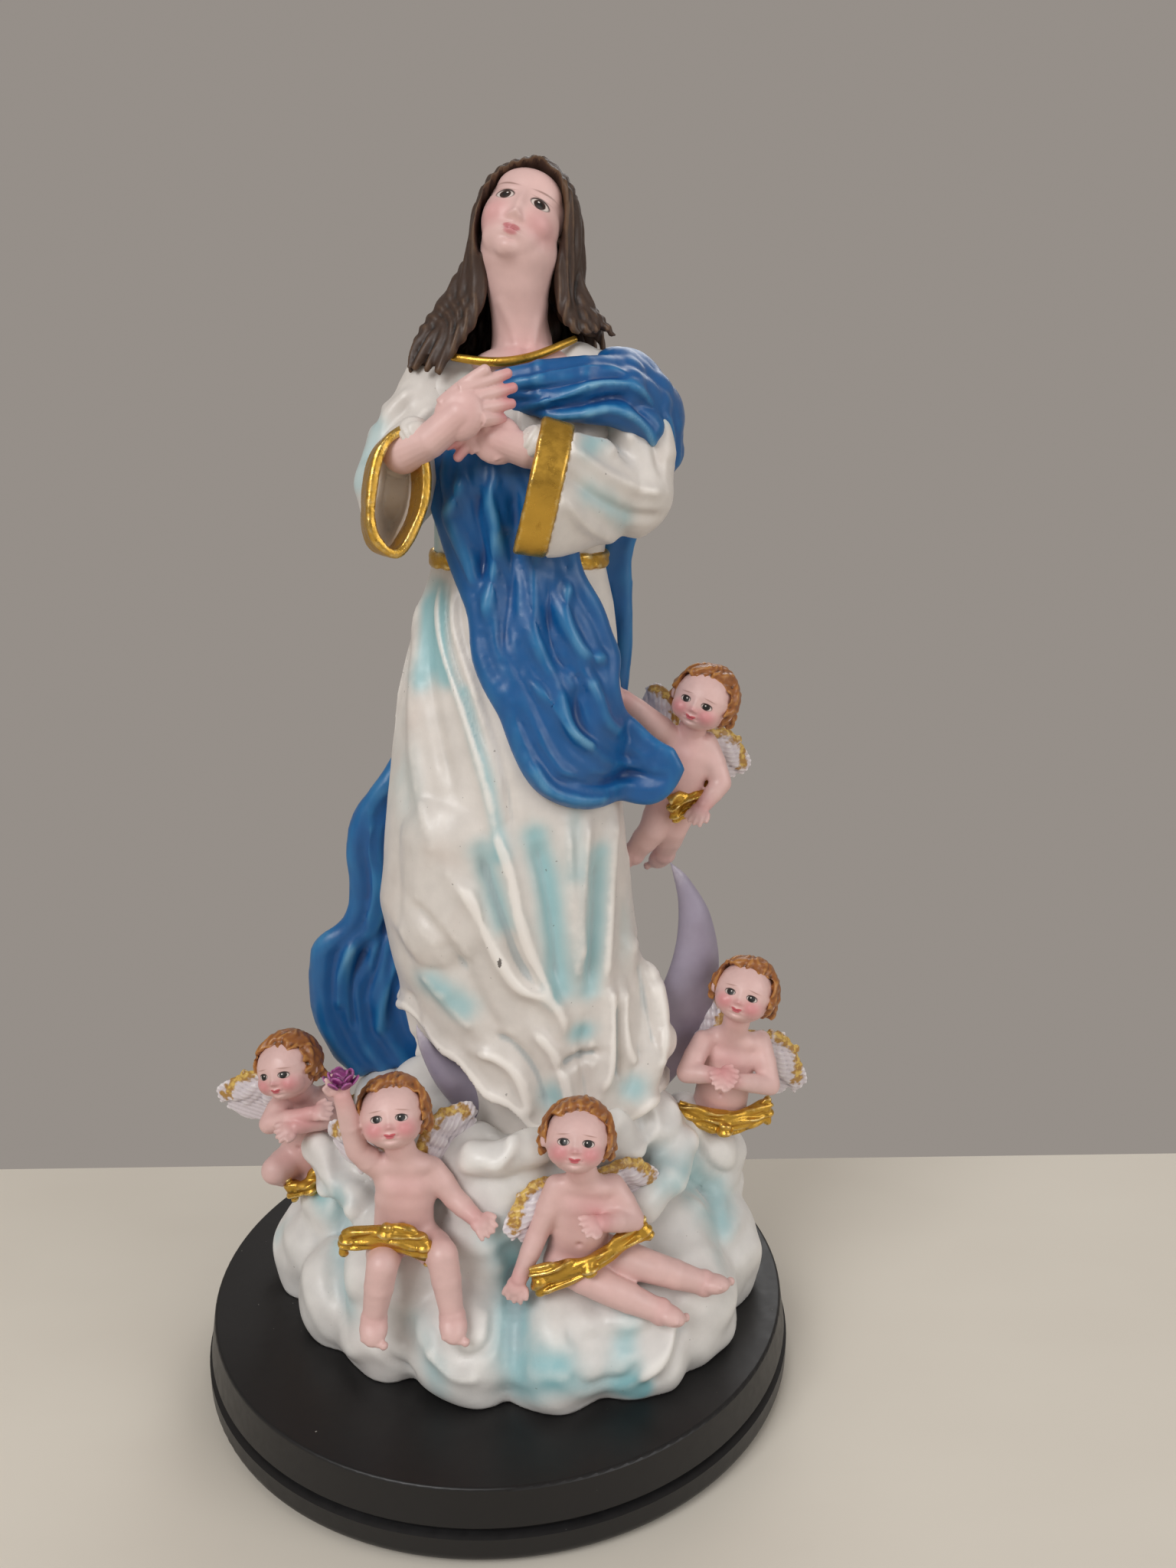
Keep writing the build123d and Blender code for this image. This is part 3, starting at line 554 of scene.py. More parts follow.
    # White enamel with aqua airbrushed into the swirls of the cloud, a painted highlight on its swells and
    # grey-blue painted shade in its hollows.
    finishes["cloud"] = painted("Satin enamel on cast resin, cloud", "#dcdad7", [
        ("#c8b9b4", None, 0.05, 0.3, 26.0, 1.0, flat, 0.30),
        (colours.wash, "wash", 0.05, 1.10, 9.0, 0.50, flat, 0.88),
        ("#f5f3ef", "relief", 0.2, 1.0, 4.0, 0.4, flat, 0.7),
        ("#a9b3b8", "relief", -0.25, -1.2, 4.0, 0.3, flat, 0.55),
        ("#5d5650", None, 0.245, 0.27, 1.5, 1.0, flat, 0.5),
    ], roughness=0.45, coat=0.10, grain=0.6, depth=0.02)
    # Lavender-grey enamel with a pale painted highlight along the raised rims of the moon's horns.
    finishes["moon"] = painted("Satin enamel on cast resin, lavender grey", "#9d95a8", [
        ("#7d7690", None, 0.0, 0.4, 9.0, 1.0, flat, 0.5),
        ("#d5cfd8", "relief", 0.5, 1.2, 2.0, 0.5, flat, 0.6),
    ], roughness=0.45, coat=0.1, grain=0.8, depth=0.015)
    # Thick glossy purple enamel with dark painted shade between the petals and a painted highlight on their
    # swells.
    finishes["rose"] = painted("Thick enamel on a cast rose, purple", "#7d2a6b", [
        ("#3d1036", "relief", -0.03, -0.35, 0.8, 0.3, flat, 0.9),
        ("#b463a3", "relief", 0.08, 0.4, 0.8, 0.4, flat, 0.7),
    ], roughness=0.35, coat=0.3, grain=0.4, depth=0.03)
    # Sprayed black lacquer on turned wood: satin, with dust caught in it.
    finishes["lacquer"] = painted("Black lacquer on turned wood", "#0a090b", [
        ("#121113", None, 0.0, 0.4, 40.0, 1.0, flat, 0.6),
        ("#b9b5b0", None, 0.270, 0.285, 1.4, 1.0, flat, 0.75),
    ], roughness=0.42, coat=0.05, grain=0.9, depth=0.006, rough_swing=0.04)
    # Pressed wool felt: dull, with a short nap.
    finishes["felt"] = painted("Pressed felt", "#20251f", [
        ("#39413a", None, 0.0, 0.25, 0.9, 1.0, flat, 0.6),
    ], roughness=0.85, grain=0.35, depth=0.12, rough_swing=0.05)
    # Zinc-plated steel wood screw.
    finishes["screw"] = painted("Zinc-plated steel", "#b7b9bb", [
        ("#7f8488", None, 0.0, 0.3, 1.2, 1.0, flat, 0.5),
    ], roughness=0.35, metallic=1.0, grain=0.5, depth=0.01)
    return finishes


FINISHES = {}


# ---------------------------------------------------------------- the cherubs
# Places are measured from the plinth's top.  look: where the face looks; roll: the crown's lean towards
# the viewer's right, in degrees; toes: which way each foot points.
CHERUBS = {
    "leaning_cherub": dict(
        head=(-53.5, -4.0, 64.5), look=(-0.35, -0.93, 0.20), roll=-14,
        chest=(-50.0, 1.0, 49.0), hips=(-50.0, 2.0, 36.0),
        right_arm=[(-55.0, 0.0, 53.0), (-58.5, -6.0, 50.0), (-47.0, -9.0, 54.0)],
        left_arm=[(-44.0, 1.0, 53.0), (-41.0, -5.0, 51.0), (-51.0, -10.0, 51.0)],
        right_leg=[(-54.0, 1.0, 36.0), (-58.0, -5.0, 36.0), (-54.0, 3.0, 29.0)],
        left_leg=[(-48.0, 2.0, 33.0), (-47.0, -3.0, 27.0), (-50.0, 3.0, 16.0)],
        right_wing_tip=(-74.0, 11.0, 47.0), left_wing_tip=(-40.0, 13.0, 33.0),
        cloth=[(-54.0, -5.0, 31.0), (-49.0, -7.0, 31.5), (-43.0, -4.0, 35.0)],
        toes=[(-0.2, 0.9, -0.4), (-0.1, 0.6, -0.8)], seed=3,
    ),
    "rose_cherub": dict(
        head=(-24.3, -38.0, 69.0), look=(-0.03, -0.90, 0.42), roll=-4,
        chest=(-22.0, -37.0, 51.0), hips=(-23.0, -36.0, 37.0),
        right_arm=[(-28.0, -37.0, 53.0), (-32.5, -39.0, 61.0), (-35.0, -41.0, 76.0)],
        left_arm=[(-16.0, -36.0, 52.0), (-11.0, -38.0, 47.0), (-6.0, -42.0, 44.0)],
        right_leg=[(-27.0, -37.0, 35.0), (-27.0, -48.0, 37.0), (-29.5, -48.0, 23.0)],
        left_leg=[(-18.0, -37.0, 35.0), (-13.5, -47.0, 38.0), (-11.5, -50.0, 24.0)],
        right_wing_tip=(-41.0, -24.0, 56.0), left_wing_tip=(-5.0, -25.0, 61.0),
        cloth=[(-35.0, -44.0, 41.0), (-26.0, -46.0, 44.0), (-17.5, -46.5, 39.5)],
        toes=[(0.0, -0.75, -0.65), (0.1, -0.75, -0.6)], seed=5,
    ),
    "seated_cherub": dict(
        head=(17.7, -44.0, 64.5), look=(-0.10, -0.90, 0.42), roll=4,
        chest=(19.5, -41.0, 46.0), hips=(18.0, -39.0, 32.0),
        right_arm=[(13.0, -41.0, 49.0), (9.0, -42.0, 40.0), (4.0, -46.0, 30.0)],
        left_arm=[(26.0, -40.0, 48.0), (31.0, -43.0, 42.0), (22.5, -49.0, 45.5)],
        right_leg=[(14.1, -41.1, 30.5), (24.5, -47.6, 27.3), (36.6, -49.4, 21.8)],
        left_leg=[(24.0, -39.0, 31.0), (36.0, -44.0, 29.5), (48.0, -43.0, 24.0)],
        right_wing_tip=(3.0, -42.5, 37.5), left_wing_tip=(37.0, -29.5, 42.0),
        cloth=[(8.5, -47.5, 30.5), (20.0, -49.0, 34.0), (33.0, -43.0, 39.5)],
        toes=[(0.75, -0.3, -0.2), (0.8, -0.3, 0.1)], seed=7,
    ),
    "praying_cherub": dict(
        head=(62.6, -10.2, 83.8), look=(-0.30, -0.90, 0.34), roll=14,
        chest=(60.2, -5.2, 63.8), hips=(58.3, -4.3, 49.3),
        right_arm=[(53.0, -6.0, 67.0), (48.0, -12.0, 63.0), (55.0, -16.0, 64.0)],
        left_arm=[(68.0, -5.0, 66.0), (70.0, -11.0, 58.0), (58.0, -17.0, 63.0)],
        right_leg=[(55.0, -3.0, 47.0), (53.5, -4.5, 42.5), (53.0, -1.0, 31.0)],
        left_leg=[(60.0, -3.0, 46.0), (58.5, -3.5, 41.0), (58.0, 0.0, 30.0)],
        right_wing_tip=(50.0, 9.0, 80.0), left_wing_tip=(80.0, 5.0, 46.5),
        cloth=[(47.5, -9.0, 51.0), (58.0, -13.5, 47.0), (69.5, -9.0, 50.0)],
        toes=[(0.0, 0.5, -0.8), (0.0, 0.5, -0.8)], seed=11,
    ),
    "flying_cherub": dict(
        head=(52.9, 4.0, 156.4), look=(-0.40, -0.90, 0.12), roll=20,
        chest=(49.0, 8.0, 142.0), hips=(46.5, 9.0, 130.0),
        right_arm=[(45.0, 7.0, 146.0), (39.5, 4.0, 152.0), (32.5, 1.0, 158.0)],
        left_arm=[(54.5, 7.0, 144.0), (58.0, 4.0, 135.0), (53.0, 1.0, 130.0)],
        right_leg=[(44.5, 9.0, 129.0), (41.0, 7.0, 122.0), (36.5, 10.0, 115.0)],
        left_leg=[(49.0, 9.0, 129.0), (46.5, 8.0, 122.0), (45.0, 13.0, 114.0)],
        right_wing_tip=(40.0, 18.0, 157.0), left_wing_tip=(66.0, 19.0, 133.0),
        cloth=[(46.0, 3.0, 129.0), (52.0, 3.5, 131.0), (54.5, 8.0, 134.0)],
        toes=[(-0.6, 0.1, -0.6), (-0.3, 0.5, -0.7)], seed=13,
    ),
}


def face_axes(look, roll):
    """Across, up and forward of a head that looks that way, its crown leaning to the viewer's right."""
    forward = unit(look)
    across = unit(np.cross((0, 0, 1), forward))
    across = across if across[0] > 0 else -across
    up = unit(np.cross(forward, across))
    up = up if up[2] > 0 else -up
    lean = math.radians(roll)
    return np.array([math.cos(lean) * across - math.sin(lean) * up,
                     math.sin(lean) * across + math.cos(lean) * up, forward])


def model_face(piece, centre, axes, radius, forms):
    """Press soft forms into the face and keep where each point lies on it, in head radii."""
    points = points_of(piece)
    local = (points - centre) @ axes.T / radius
    fronts = smoothstep(local[:, 2], 0.15, 0.45) * (np.linalg.norm(local, axis=1) < 1.45)
    lift = np.zeros(len(points))
    for across, up, width, height, rise in forms:
        for side in ((1, -1) if across else (1,)):
            beside = ((local[:, 0] - side * across) / width) ** 2
            lift += rise * np.exp(-beside - ((local[:, 1] - up) / height) ** 2)
    move_points(piece, points + axes[2] * (lift * fronts * radius)[:, None])
    behind = np.where((local[:, 2] > 0.1) & (np.linalg.norm(local, axis=1) < 1.5), 0, 50)
    note(piece, "face", np.column_stack([local[:, 0], local[:, 1], behind]))


CHILD_FORMS = [
    # across, up, half width, half height, rise: all in head radii
    (0.37, -0.02, 0.24, 0.17, -0.060), (0.37, -0.06, 0.15, 0.10, 0.045), (0.40, 0.19, 0.26, 0.08, 0.026),
    (0.0, -0.12, 0.09, 0.20, 0.050), (0.0, -0.27, 0.095, 0.080, 0.130), (0.11, -0.31, 0.06, 0.05, 0.050),
    (0.46, -0.36, 0.25, 0.22, 0.070), (0.0, -0.53, 0.22, 0.12, 0.050),
    (0.065, -0.500, 0.10, 0.035, 0.045), (0.0, -0.580, 0.125, 0.040, 0.050),
    (0.0, -0.540, 0.20, 0.016, -0.050), (0.22, -0.53, 0.05, 0.05, -0.040),
    (0.0, -0.82, 0.20, 0.13, 0.120), (0.0, -0.675, 0.17, 0.04, -0.040),
]
# The way that the cherubs' palms face.
PALMS_FACE = (0, -0.6, 1)


def hand_parts(wrist, towards, palm_normal, size):
    """Palm, four fingers and a thumb at the end of a forearm."""
    out = unit(towards)
    normal = unit(np.array(palm_normal) - out * (np.array(palm_normal) @ out))
    across = np.cross(out, normal)
    wrist = np.array(wrist, float)
    palm = wrist + out * size * 0.7
    parts = [ball(palm, (size * 0.95, size * 0.98, size * 0.52), [out, across, normal], 16)]
    paths = []
    for i, spread in enumerate((-0.75, -0.25, 0.25, 0.75)):
        base = palm + out * size * 0.45 + across * spread * size
        reach = size * (0.80, 0.95, 0.92, 0.74)[i]
        way = unit(out + across * spread * 0.30 - normal * 0.15)
        paths.append(([base, base + way * reach * 0.6, base + way * reach - normal * size * 0.18],
                      [size * 0.28, size * 0.27, size * 0.22]))
    root = palm - out * size * 0.2 - across * size * 0.85
    paths.append(([root, root - across * size * 0.4 + out * size * 0.4,
                   root - across * size * 0.45 + out * size * 0.8],
                  [size * 0.32, size * 0.29, size * 0.24]))
    parts.append(tubes(paths))
    for points, radii in paths:
        parts.append(ball(points[-1], radii[-1] * 1.02, segments=12))
    return parts


def foot_parts(ankle, toes, size):
    """A plump foot with five toes."""
    ahead = unit(toes)
    across = unit(np.cross(ahead, (0, 0.3, 1)))
    upper = np.cross(across, ahead)
    ankle = np.array(ankle, float)
    sole = ankle + ahead * size * 0.62
    parts = [ball(sole, (size * 1.25, size * 0.98, size * 0.68), [ahead, across, upper], 16),
             ball(ankle, size * 0.95, segments=14)]
    for i, spread in enumerate((-0.74, -0.31, 0.06, 0.40, 0.71)):
        toe = sole + ahead * size * (1.17 - 0.12 * i) + across * spread * size
        parts.append(ball(toe, size * (0.32, 0.24, 0.225, 0.21, 0.195)[i], segments=10))
    return parts


TRUNK = [
    # how far from the hips to the chest, and half width, depth and height
    (0.0, 7.5, 5.6, 5.4), (0.25, 7.3, 5.6, 5.0), (0.45, 7.2, 5.4, 5.0), (0.7, 7.4, 5.0, 5.0),
    (1.0, 7.6, 4.8, 4.8),
]


def cherub_skin(name, pose, sizes):
    """A plump body with its head, from overlapping rounds fused into one skin."""
    head, chest, hips = lifted(pose["head"]), lifted(pose["chest"]), lifted(pose["hips"])
    radius = sizes.cherub_head
    axes = face_axes(pose["look"], pose["roll"])
    across, up, ahead = axes
    spine = unit(chest - hips)
    front = unit(np.array([ahead[0], ahead[1], 0]))
    side = unit(np.cross(spine, front))
    trunk = [side, front, spine]
    belly = hips * 0.55 + chest * 0.45
    raised = min(max((np.linalg.norm(head - chest) - 13.5) * 0.65, 0.4), 2.8)
    shoulders = chest + spine * (2.4 + raised)
    parts = [
        ball(head, (radius * 0.95, radius * 0.99, radius * 0.97), axes),
        ball(head - up * radius * 0.34 + ahead * radius * 0.22,
             (radius * 0.74, radius * 0.60, radius * 0.68), axes),
    ]
    for t, wide, deep, tall in TRUNK:
        parts.append(ball(hips * (1 - t) + chest * t + front * 0.6 * math.sin(t * math.pi),
                          (wide, deep, tall), trunk))
    parts.append(ball(shoulders, (7.3, 3.9, 3.0), trunk))
    for way in (-1, 1):
        cheek = head + across * way * radius * 0.38 - up * radius * 0.33 + ahead * radius * 0.42
        ear = head + across * way * radius * 0.97 - up * radius * 0.10 - ahead * radius * 0.02
        parts.append(ball(cheek, radius * 0.44, segments=18))
        parts.append(ball(ear, (radius * 0.11, radius * 0.24, radius * 0.15), axes, 14))
    parts += limbs([([head - up * radius * 0.45 - ahead * 0.8, shoulders], [3.5, 3.6])])
    arms = [[lifted(p) for p in pose[key]] for key in ("right_arm", "left_arm")]
    legs = [[lifted(p) for p in pose[key]] for key in ("right_leg", "left_leg")]
    for arm in arms:
        arm[0] = arm[0] + spine * raised * 0.7
        parts += limbs([([arm[0], arm[0] * 0.5 + arm[1] * 0.5, arm[1]], [2.9, 3.1, 2.7]),
                        ([arm[1], arm[1] * 0.55 + arm[2] * 0.45, arm[2]], [2.7, 2.6, 1.95])])
    for leg in legs:
        parts += limbs([([leg[0], leg[0] * 0.5 + leg[1] * 0.5, leg[1]], [4.6, 4.4, 3.7]),
                        ([leg[1], leg[1] * 0.6 + leg[2] * 0.4, leg[2]], [3.7, 3.6, 2.7])])
    for arm in arms:
        parts += hand_parts(arm[2], arm[2] - arm[1], PALMS_FACE, 2.5)
    for leg, toes in zip(legs, pose["toes"]):
        parts += foot_parts(leg[2], toes, 3.4)
    piece = fuse(name + "_body_skin", parts, sizes.skin_grain, 2)
    points = points_of(piece)
    kept = smoothstep(-np.linalg.norm(points - head, axis=1), -radius * 1.5, -radius * 1.2)
    fingers = [arm[2] + unit(arm[2] - arm[1]) * 2.5 for arm in arms]
    feet = [leg[2] + unit(way) * 3 for leg, way in zip(legs, pose["toes"])]
    for end in fingers + feet:
        kept = np.maximum(kept, smoothstep(-np.linalg.norm(points - end, axis=1), -5.5, -4.0))
    points = points + (evened(piece, points, 12) - points) * (1 - kept)[:, None]
    far, _ = along_line(points, np.array([hips, chest, shoulders]))
    trunk_part = smoothstep(-far, -10.5, -6.5) * (1 - kept)
    points = points + (evened(piece, points, 45) - points) * trunk_part[:, None]
    move_points(piece, points)
    navel = belly + front * 6.0 - spine * 0.5
    dents = -0.7 * near(points, navel, 0.5)
    for way in (-1, 1):
        dents += 0.30 * near(points, chest + front * 4.4 + side * way * 2.8, 5.0)
    move_points(piece, points + normals_of(piece) * dents[:, None])
    model_face(piece, head, axes, radius, CHILD_FORMS)
    note_relief(piece, 10, scale=0.35)
    points = points_of(piece)
    flush = np.zeros(len(points))
    for arm in arms:
        flush += near(points, arm[2], 12) * 0.6 + near(points, arm[1], 8) * 0.3
    for leg in legs:
        flush += near(points, leg[2], 12) * 0.5 + near(points, leg[1], 8) * 0.35
    flush += near(points, chest + front * 4, 50) * 0.34
    flush += near(points, hips + front * 5, 40) * 0.4
    flush += near(points, head - up * radius * 0.9, 14) * 0.35
    note(piece, "blush", np.clip(flush, 0, 1))
    return piece


CHERUB_LOCKS = 28


def cherub_hair(name, pose, sizes):
    """A close cap with thick curling locks combed from the crown, fused and grooved."""
    head, radius = lifted(pose["head"]), sizes.cherub_head
    axes = face_axes(pose["look"], pose["roll"])
    across, up, ahead = axes
    rng = np.random.default_rng(pose["seed"])
    back = head - ahead * radius * 0.13 + up * radius * 0.08
    parts = [ball(back, (radius * 1.02, radius * 1.00, radius * 0.98), axes)]
    crown = unit(up * 0.9 - ahead * 0.45 + across * 0.15)
    start = unit(ahead - crown * (ahead @ crown))
    turned = np.cross(crown, start)
    paths = []
    for i in range(CHERUB_LOCKS):
        angle = 2 * np.pi * (i + rng.uniform(-0.3, 0.3)) / CHERUB_LOCKS
        way = start * math.cos(angle) + turned * math.sin(angle)
        facing_front = way @ ahead
        hang = 1 - smoothstep(np.array(facing_front), 0.35, 0.95)
        reach = 0.98 + 0.95 * hang + rng.uniform(-0.10, 0.12)
        if facing_front > 0.3:
            swirl = rng.uniform(0.35, 0.75)
        else:
            swirl = rng.uniform(0.3, 0.6) * (1 if i % 2 else -1)
        line, widths = [], []
        for t in np.linspace(0.12, 1, 7):
            bend = reach * t
            sway = swirl * math.sin(t * 3.4)
            direction = crown * math.cos(bend) + unit(way + np.cross(crown, way) * sway) * math.sin(bend)
            proud = radius * (1.015 + 0.030 * math.sin(t * 3.0 + i)) + (0.4 if t > 0.9 else 0)
            line.append(back + direction * proud)
            widths.append(1.15 - 0.3 * abs(t - 0.55) - (0.4 if t > 0.95 else 0))
        paths.append((line, widths))
    for way in (-1, 1):
        for k in range(3):
            level, behind = 0.30 - 0.27 * k, 0.10 + 0.16 * k
            root = head + across * way * radius * 0.92 + up * radius * level - ahead * radius * behind
            tip = root + across * way * (0.6 + 0.4 * (k % 2)) - up * 2.5 + ahead * rng.uniform(-0.9, 1.0)
            paths.append(([root, root + across * way * 1.0 - up * 1.2, tip,
                           tip + across * way * 0.9 + up * 1.0],
                          [1.2, 1.25, 1.0, 0.55]))
    parts.append(tubes(paths, sides=3, steps=4))
    piece = fuse(name + "_hair_carved", parts, GRAINS["locks"], 4)
    points = points_of(piece)
    local = (points - head) @ axes.T / radius
    brow = 0.72 + 0.10 * np.sin(local[:, 0] * 5.0 + pose["seed"])
    shown = smoothstep(local[:, 2], 0.30, 0.55) * smoothstep(-np.abs(local[:, 0]), -0.93, -0.80)
    shown *= smoothstep(brow - local[:, 1], -0.02, 0.16)
    move_points(piece, points - ahead * (shown * 3.4)[:, None])
    points = points_of(piece)
    combed = np.sin((points @ across) * 3.2 + ripple(points, 6.0, pose["seed"]) * 3.4)
    swell(piece, combed * 0.12)
    note_relief(piece, 12, scale=0.35)
    return piece


# Rows of feathers: how many, their reach against the wing, their half width, and how proud they lie.
FEATHER_ROWS = [(9, 0.70, 2.2, 0.0), (8, 0.48, 2.0, -0.7), (6, 0.30, 1.7, -1.3)]


def wing_piece(name, chest, tip, side, seed):
    """Three rows of carved feathers fanned from a thick upper edge flecked with gilt."""
    chest, tip = lifted(chest), lifted(tip)
    root = chest + np.array([side * 2.5, 4.0, 4.0])
    span = tip - root
    length = np.linalg.norm(span)
    out = span / length
    back = unit(np.array([0, 1, 0]) - out * out[1])
    drop = np.cross(back, out)
    if drop[2] > 0:
        drop = -drop
    breadth = length * 0.46
    rng = np.random.default_rng(seed)
    parts = [ball(root + out * length * 0.45 + drop * breadth * 0.05,
                  (length * 0.47, breadth * 0.62, 0.8), [out, drop, back])]
    for row, (count, reach, width, proud) in enumerate(FEATHER_ROWS):
        for i in range(count):
            t = (i + 0.5) / count
            fan = math.radians(6 + 72 * (1 - t))
            way = out * math.cos(fan) + drop * math.sin(fan)
            edge = 0.72 * math.sin(t * 2.4) - 0.14 * row
            base = root + out * length * (0.02 + 0.54 * t) - drop * breadth * edge
            far = length * reach * (0.82 + 0.30 * t) * rng.uniform(0.93, 1.05)
            outward = way @ out
            if outward > 0:
                far = min(far, max(2.0, (length * 0.99 - (base - root) @ out) / max(outward, 0.2)))
            middle = base + way * far * 0.5 + back * (proud + 0.35 * (i % 2))
            parts.append(ball(middle, (far * 0.56, width * (1 - 0.12 * t), 0.72),
                              [way, np.cross(back, way), back], 16))
    crest = [root, root + out * length * 0.28 - drop * breadth * 0.55,
             root + out * length * 0.58 - drop * breadth * 0.72,
             root + out * length * 0.86 - drop * breadth * 0.30]
    parts.append(tubes([(crest, [1.3, 1.35, 1.15, 0.7])]))
    parts += [ball(p, 1.1, segments=12) for p in crest]
    piece = fuse(name + "_feathers", parts, GRAINS["feathers"], 1)
    points = points_of(piece)
    ribs = np.sin((points - root) @ drop * 4.2 + (points - root) @ out * 2.4) * 0.08
    swell(piece, ribs)
    note_relief(piece, 10, scale=0.3)
    far, _ = along_line(points_of(piece), smooth_line(crest))
    note(piece, "gilt", np.clip(1.1 - far / 3.4, 0, 1.2))
    return piece


def crumpled_cloth(name, path, seed):
    """A loincloth: broad soft folds side by side, with loose ends."""
    line = [lifted(p) for p in path]
    rng = np.random.default_rng(seed)
    run = unit(line[2] - line[0])
    up = unit(np.array([0, 0, 1]) - run * run[2])
    out = np.cross(run, up)
    out = out if out[1] < 0 else -out
    bulge = line[1] * 1.35 - (line[0] + line[2]) * 0.175
    paths = []
    for k in range(4):
        level, phase = (k - 1.5) * 1.35, rng.uniform(0, 6)
        strip, widths = [], []
        for t in np.linspace(-0.05, 1.05, 8):
            point = line[0] * (1 - t) ** 2 + 2 * bulge * t * (1 - t) + line[2] * t ** 2
            rise = level * (0.85 + 0.35 * math.sin(t * 5 + seed)) + 0.55 * math.sin(t * 6.5 + phase)
            strip.append(point + up * rise + out * 0.45 * math.cos(k * 2.1 + t * 5))
            widths.append(1.25 + 0.30 * math.sin(t * 7 + phase))
        paths.append((strip, widths))
    for end, way in ((line[0], -1), (line[2], 1)):
        paths.append(([end, end + run * way * 1.4 - up * 1.8, end + run * way * 0.6 - up * 4.0],
                      [1.7, 1.6, 0.7]))
    parts = [tubes(paths)] + [ball(p, 2.0, segments=14) for p in line]
    piece = fuse(name + "_gilt_cloth", parts, GRAINS["loincloth"], 3)
    points = points_of(piece)
    stretched = np.column_stack([(points @ run) * 0.35, points @ up, points @ out])
    crease = 0.30 * np.sin((points @ up) * 2.6 + ripple(stretched, 5.0, seed) * 2.2)
    swell(piece, crease)
    note_relief(piece, 8, scale=0.35)
    return piece


class CarveCherubs(bpy.types.Operator):
    """Model the five cherubs with their hair, wings and gilt loincloths"""

    bl_idname = "statuette.cherubs"
    bl_label = "Cherubs"

    def execute(self, context):
        sizes = context.scene.statuette_sizes
        for name, pose in CHERUBS.items():
            finish(cherub_skin(name, pose, sizes), "skin_resin", FINISHES["child_skin"], name + "_body")
            finish(cherub_hair(name, pose, sizes), "auburn_hair_resin", FINISHES["auburn"],
                   name + "_hair")
            finish(crumpled_cloth(name, pose["cloth"], pose["seed"]), "gilding", FINISHES["gilt"],
                   name + "_cloth")
            for key, side in (("right_wing", -1), ("left_wing", 1)):
                piece = wing_piece(name + "_" + key, pose["chest"], pose[key + "_tip"], side,
                                   pose["seed"] + side)
                finish(piece, "wing_resin", FINISHES["wing"], name + "_" + key)
        return {"FINISHED"}


# ---------------------------------------------------------------- the Madonna
# Oval sections of the dressed figure: height above the plinth, centre x and y, half width, half depth.
FIGURE = np.array([
    (38.0, 12.0, 0.0, 31.5, 27.5), (43.0, 12.0, 0.0, 32.0, 28.0), (61.0, 12.0, 0.0, 31.5, 29.0),
    (77.0, 9.5, 0.0, 32.0, 28.5), (93.0, 5.0, 0.0, 31.0, 28.0), (109.0, 2.5, -0.5, 31.0, 27.5),
    (137.0, 3.3, -0.5, 28.4, 24.5), (161.0, 4.8, 0.0, 26.5, 20.5), (181.0, 6.8, 0.0, 23.0, 16.5),
    (192.0, 7.5, 0.0, 20.0, 14.5), (207.0, 8.5, -1.0, 20.5, 16.0), (220.0, 9.5, -1.0, 22.5, 15.5),
    (229.0, 10.0, 0.0, 21.0, 13.0), (238.0, 10.0, 1.0, 11.0, 9.0),
])
HEAD_MIDDLE = np.array([9.3, -3.4, 283.6])
HEAD_AXES = face_axes((-0.05, -0.92, 0.40), 19.0)
FACE_UNIT = 12.3

CALM_FORMS = [
    (0.285, 0.00, 0.20, 0.13, -0.050), (0.285, -0.01, 0.12, 0.070, 0.042),
    (0.30, 0.185, 0.22, 0.06, 0.026), (0.0, 0.02, 0.085, 0.20, 0.035), (0.0, -0.20, 0.095, 0.18, 0.070),
    (0.0, -0.36, 0.100, 0.080, 0.105), (0.100, -0.400, 0.055, 0.045, 0.048),
    (0.40, -0.34, 0.24, 0.24, 0.022), (0.0, -0.60, 0.20, 0.12, 0.038),
    (0.055, -0.570, 0.085, 0.034, 0.040), (0.0, -0.655, 0.105, 0.040, 0.045),
    (0.0, -0.612, 0.17, 0.014, -0.042), (0.0, -0.90, 0.15, 0.12, 0.055),
    (0.0, -0.75, 0.14, 0.035, -0.026),
]


def figure_at(heights):
    """Centre x and y and half width and depth of the dressed figure at heights above the table."""
    h = np.asarray(heights, float) - PLINTH_TOP
    return [np.interp(h, FIGURE[:, 0], FIGURE[:, i]) for i in (1, 2, 3, 4)]


def on_figure(x, z, proud, back=False, limit=0.94):
    """The point of the dressed figure at x and z, on its front or its back, stood off by a distance."""
    cx, cy, rx, ry = figure_at(z)
    across = np.clip((x - cx) / (rx + proud), -limit, limit)
    depth = (ry + proud) * np.sqrt(1 - across ** 2)
    return np.array([x, cy + depth if back else cy - depth, z])


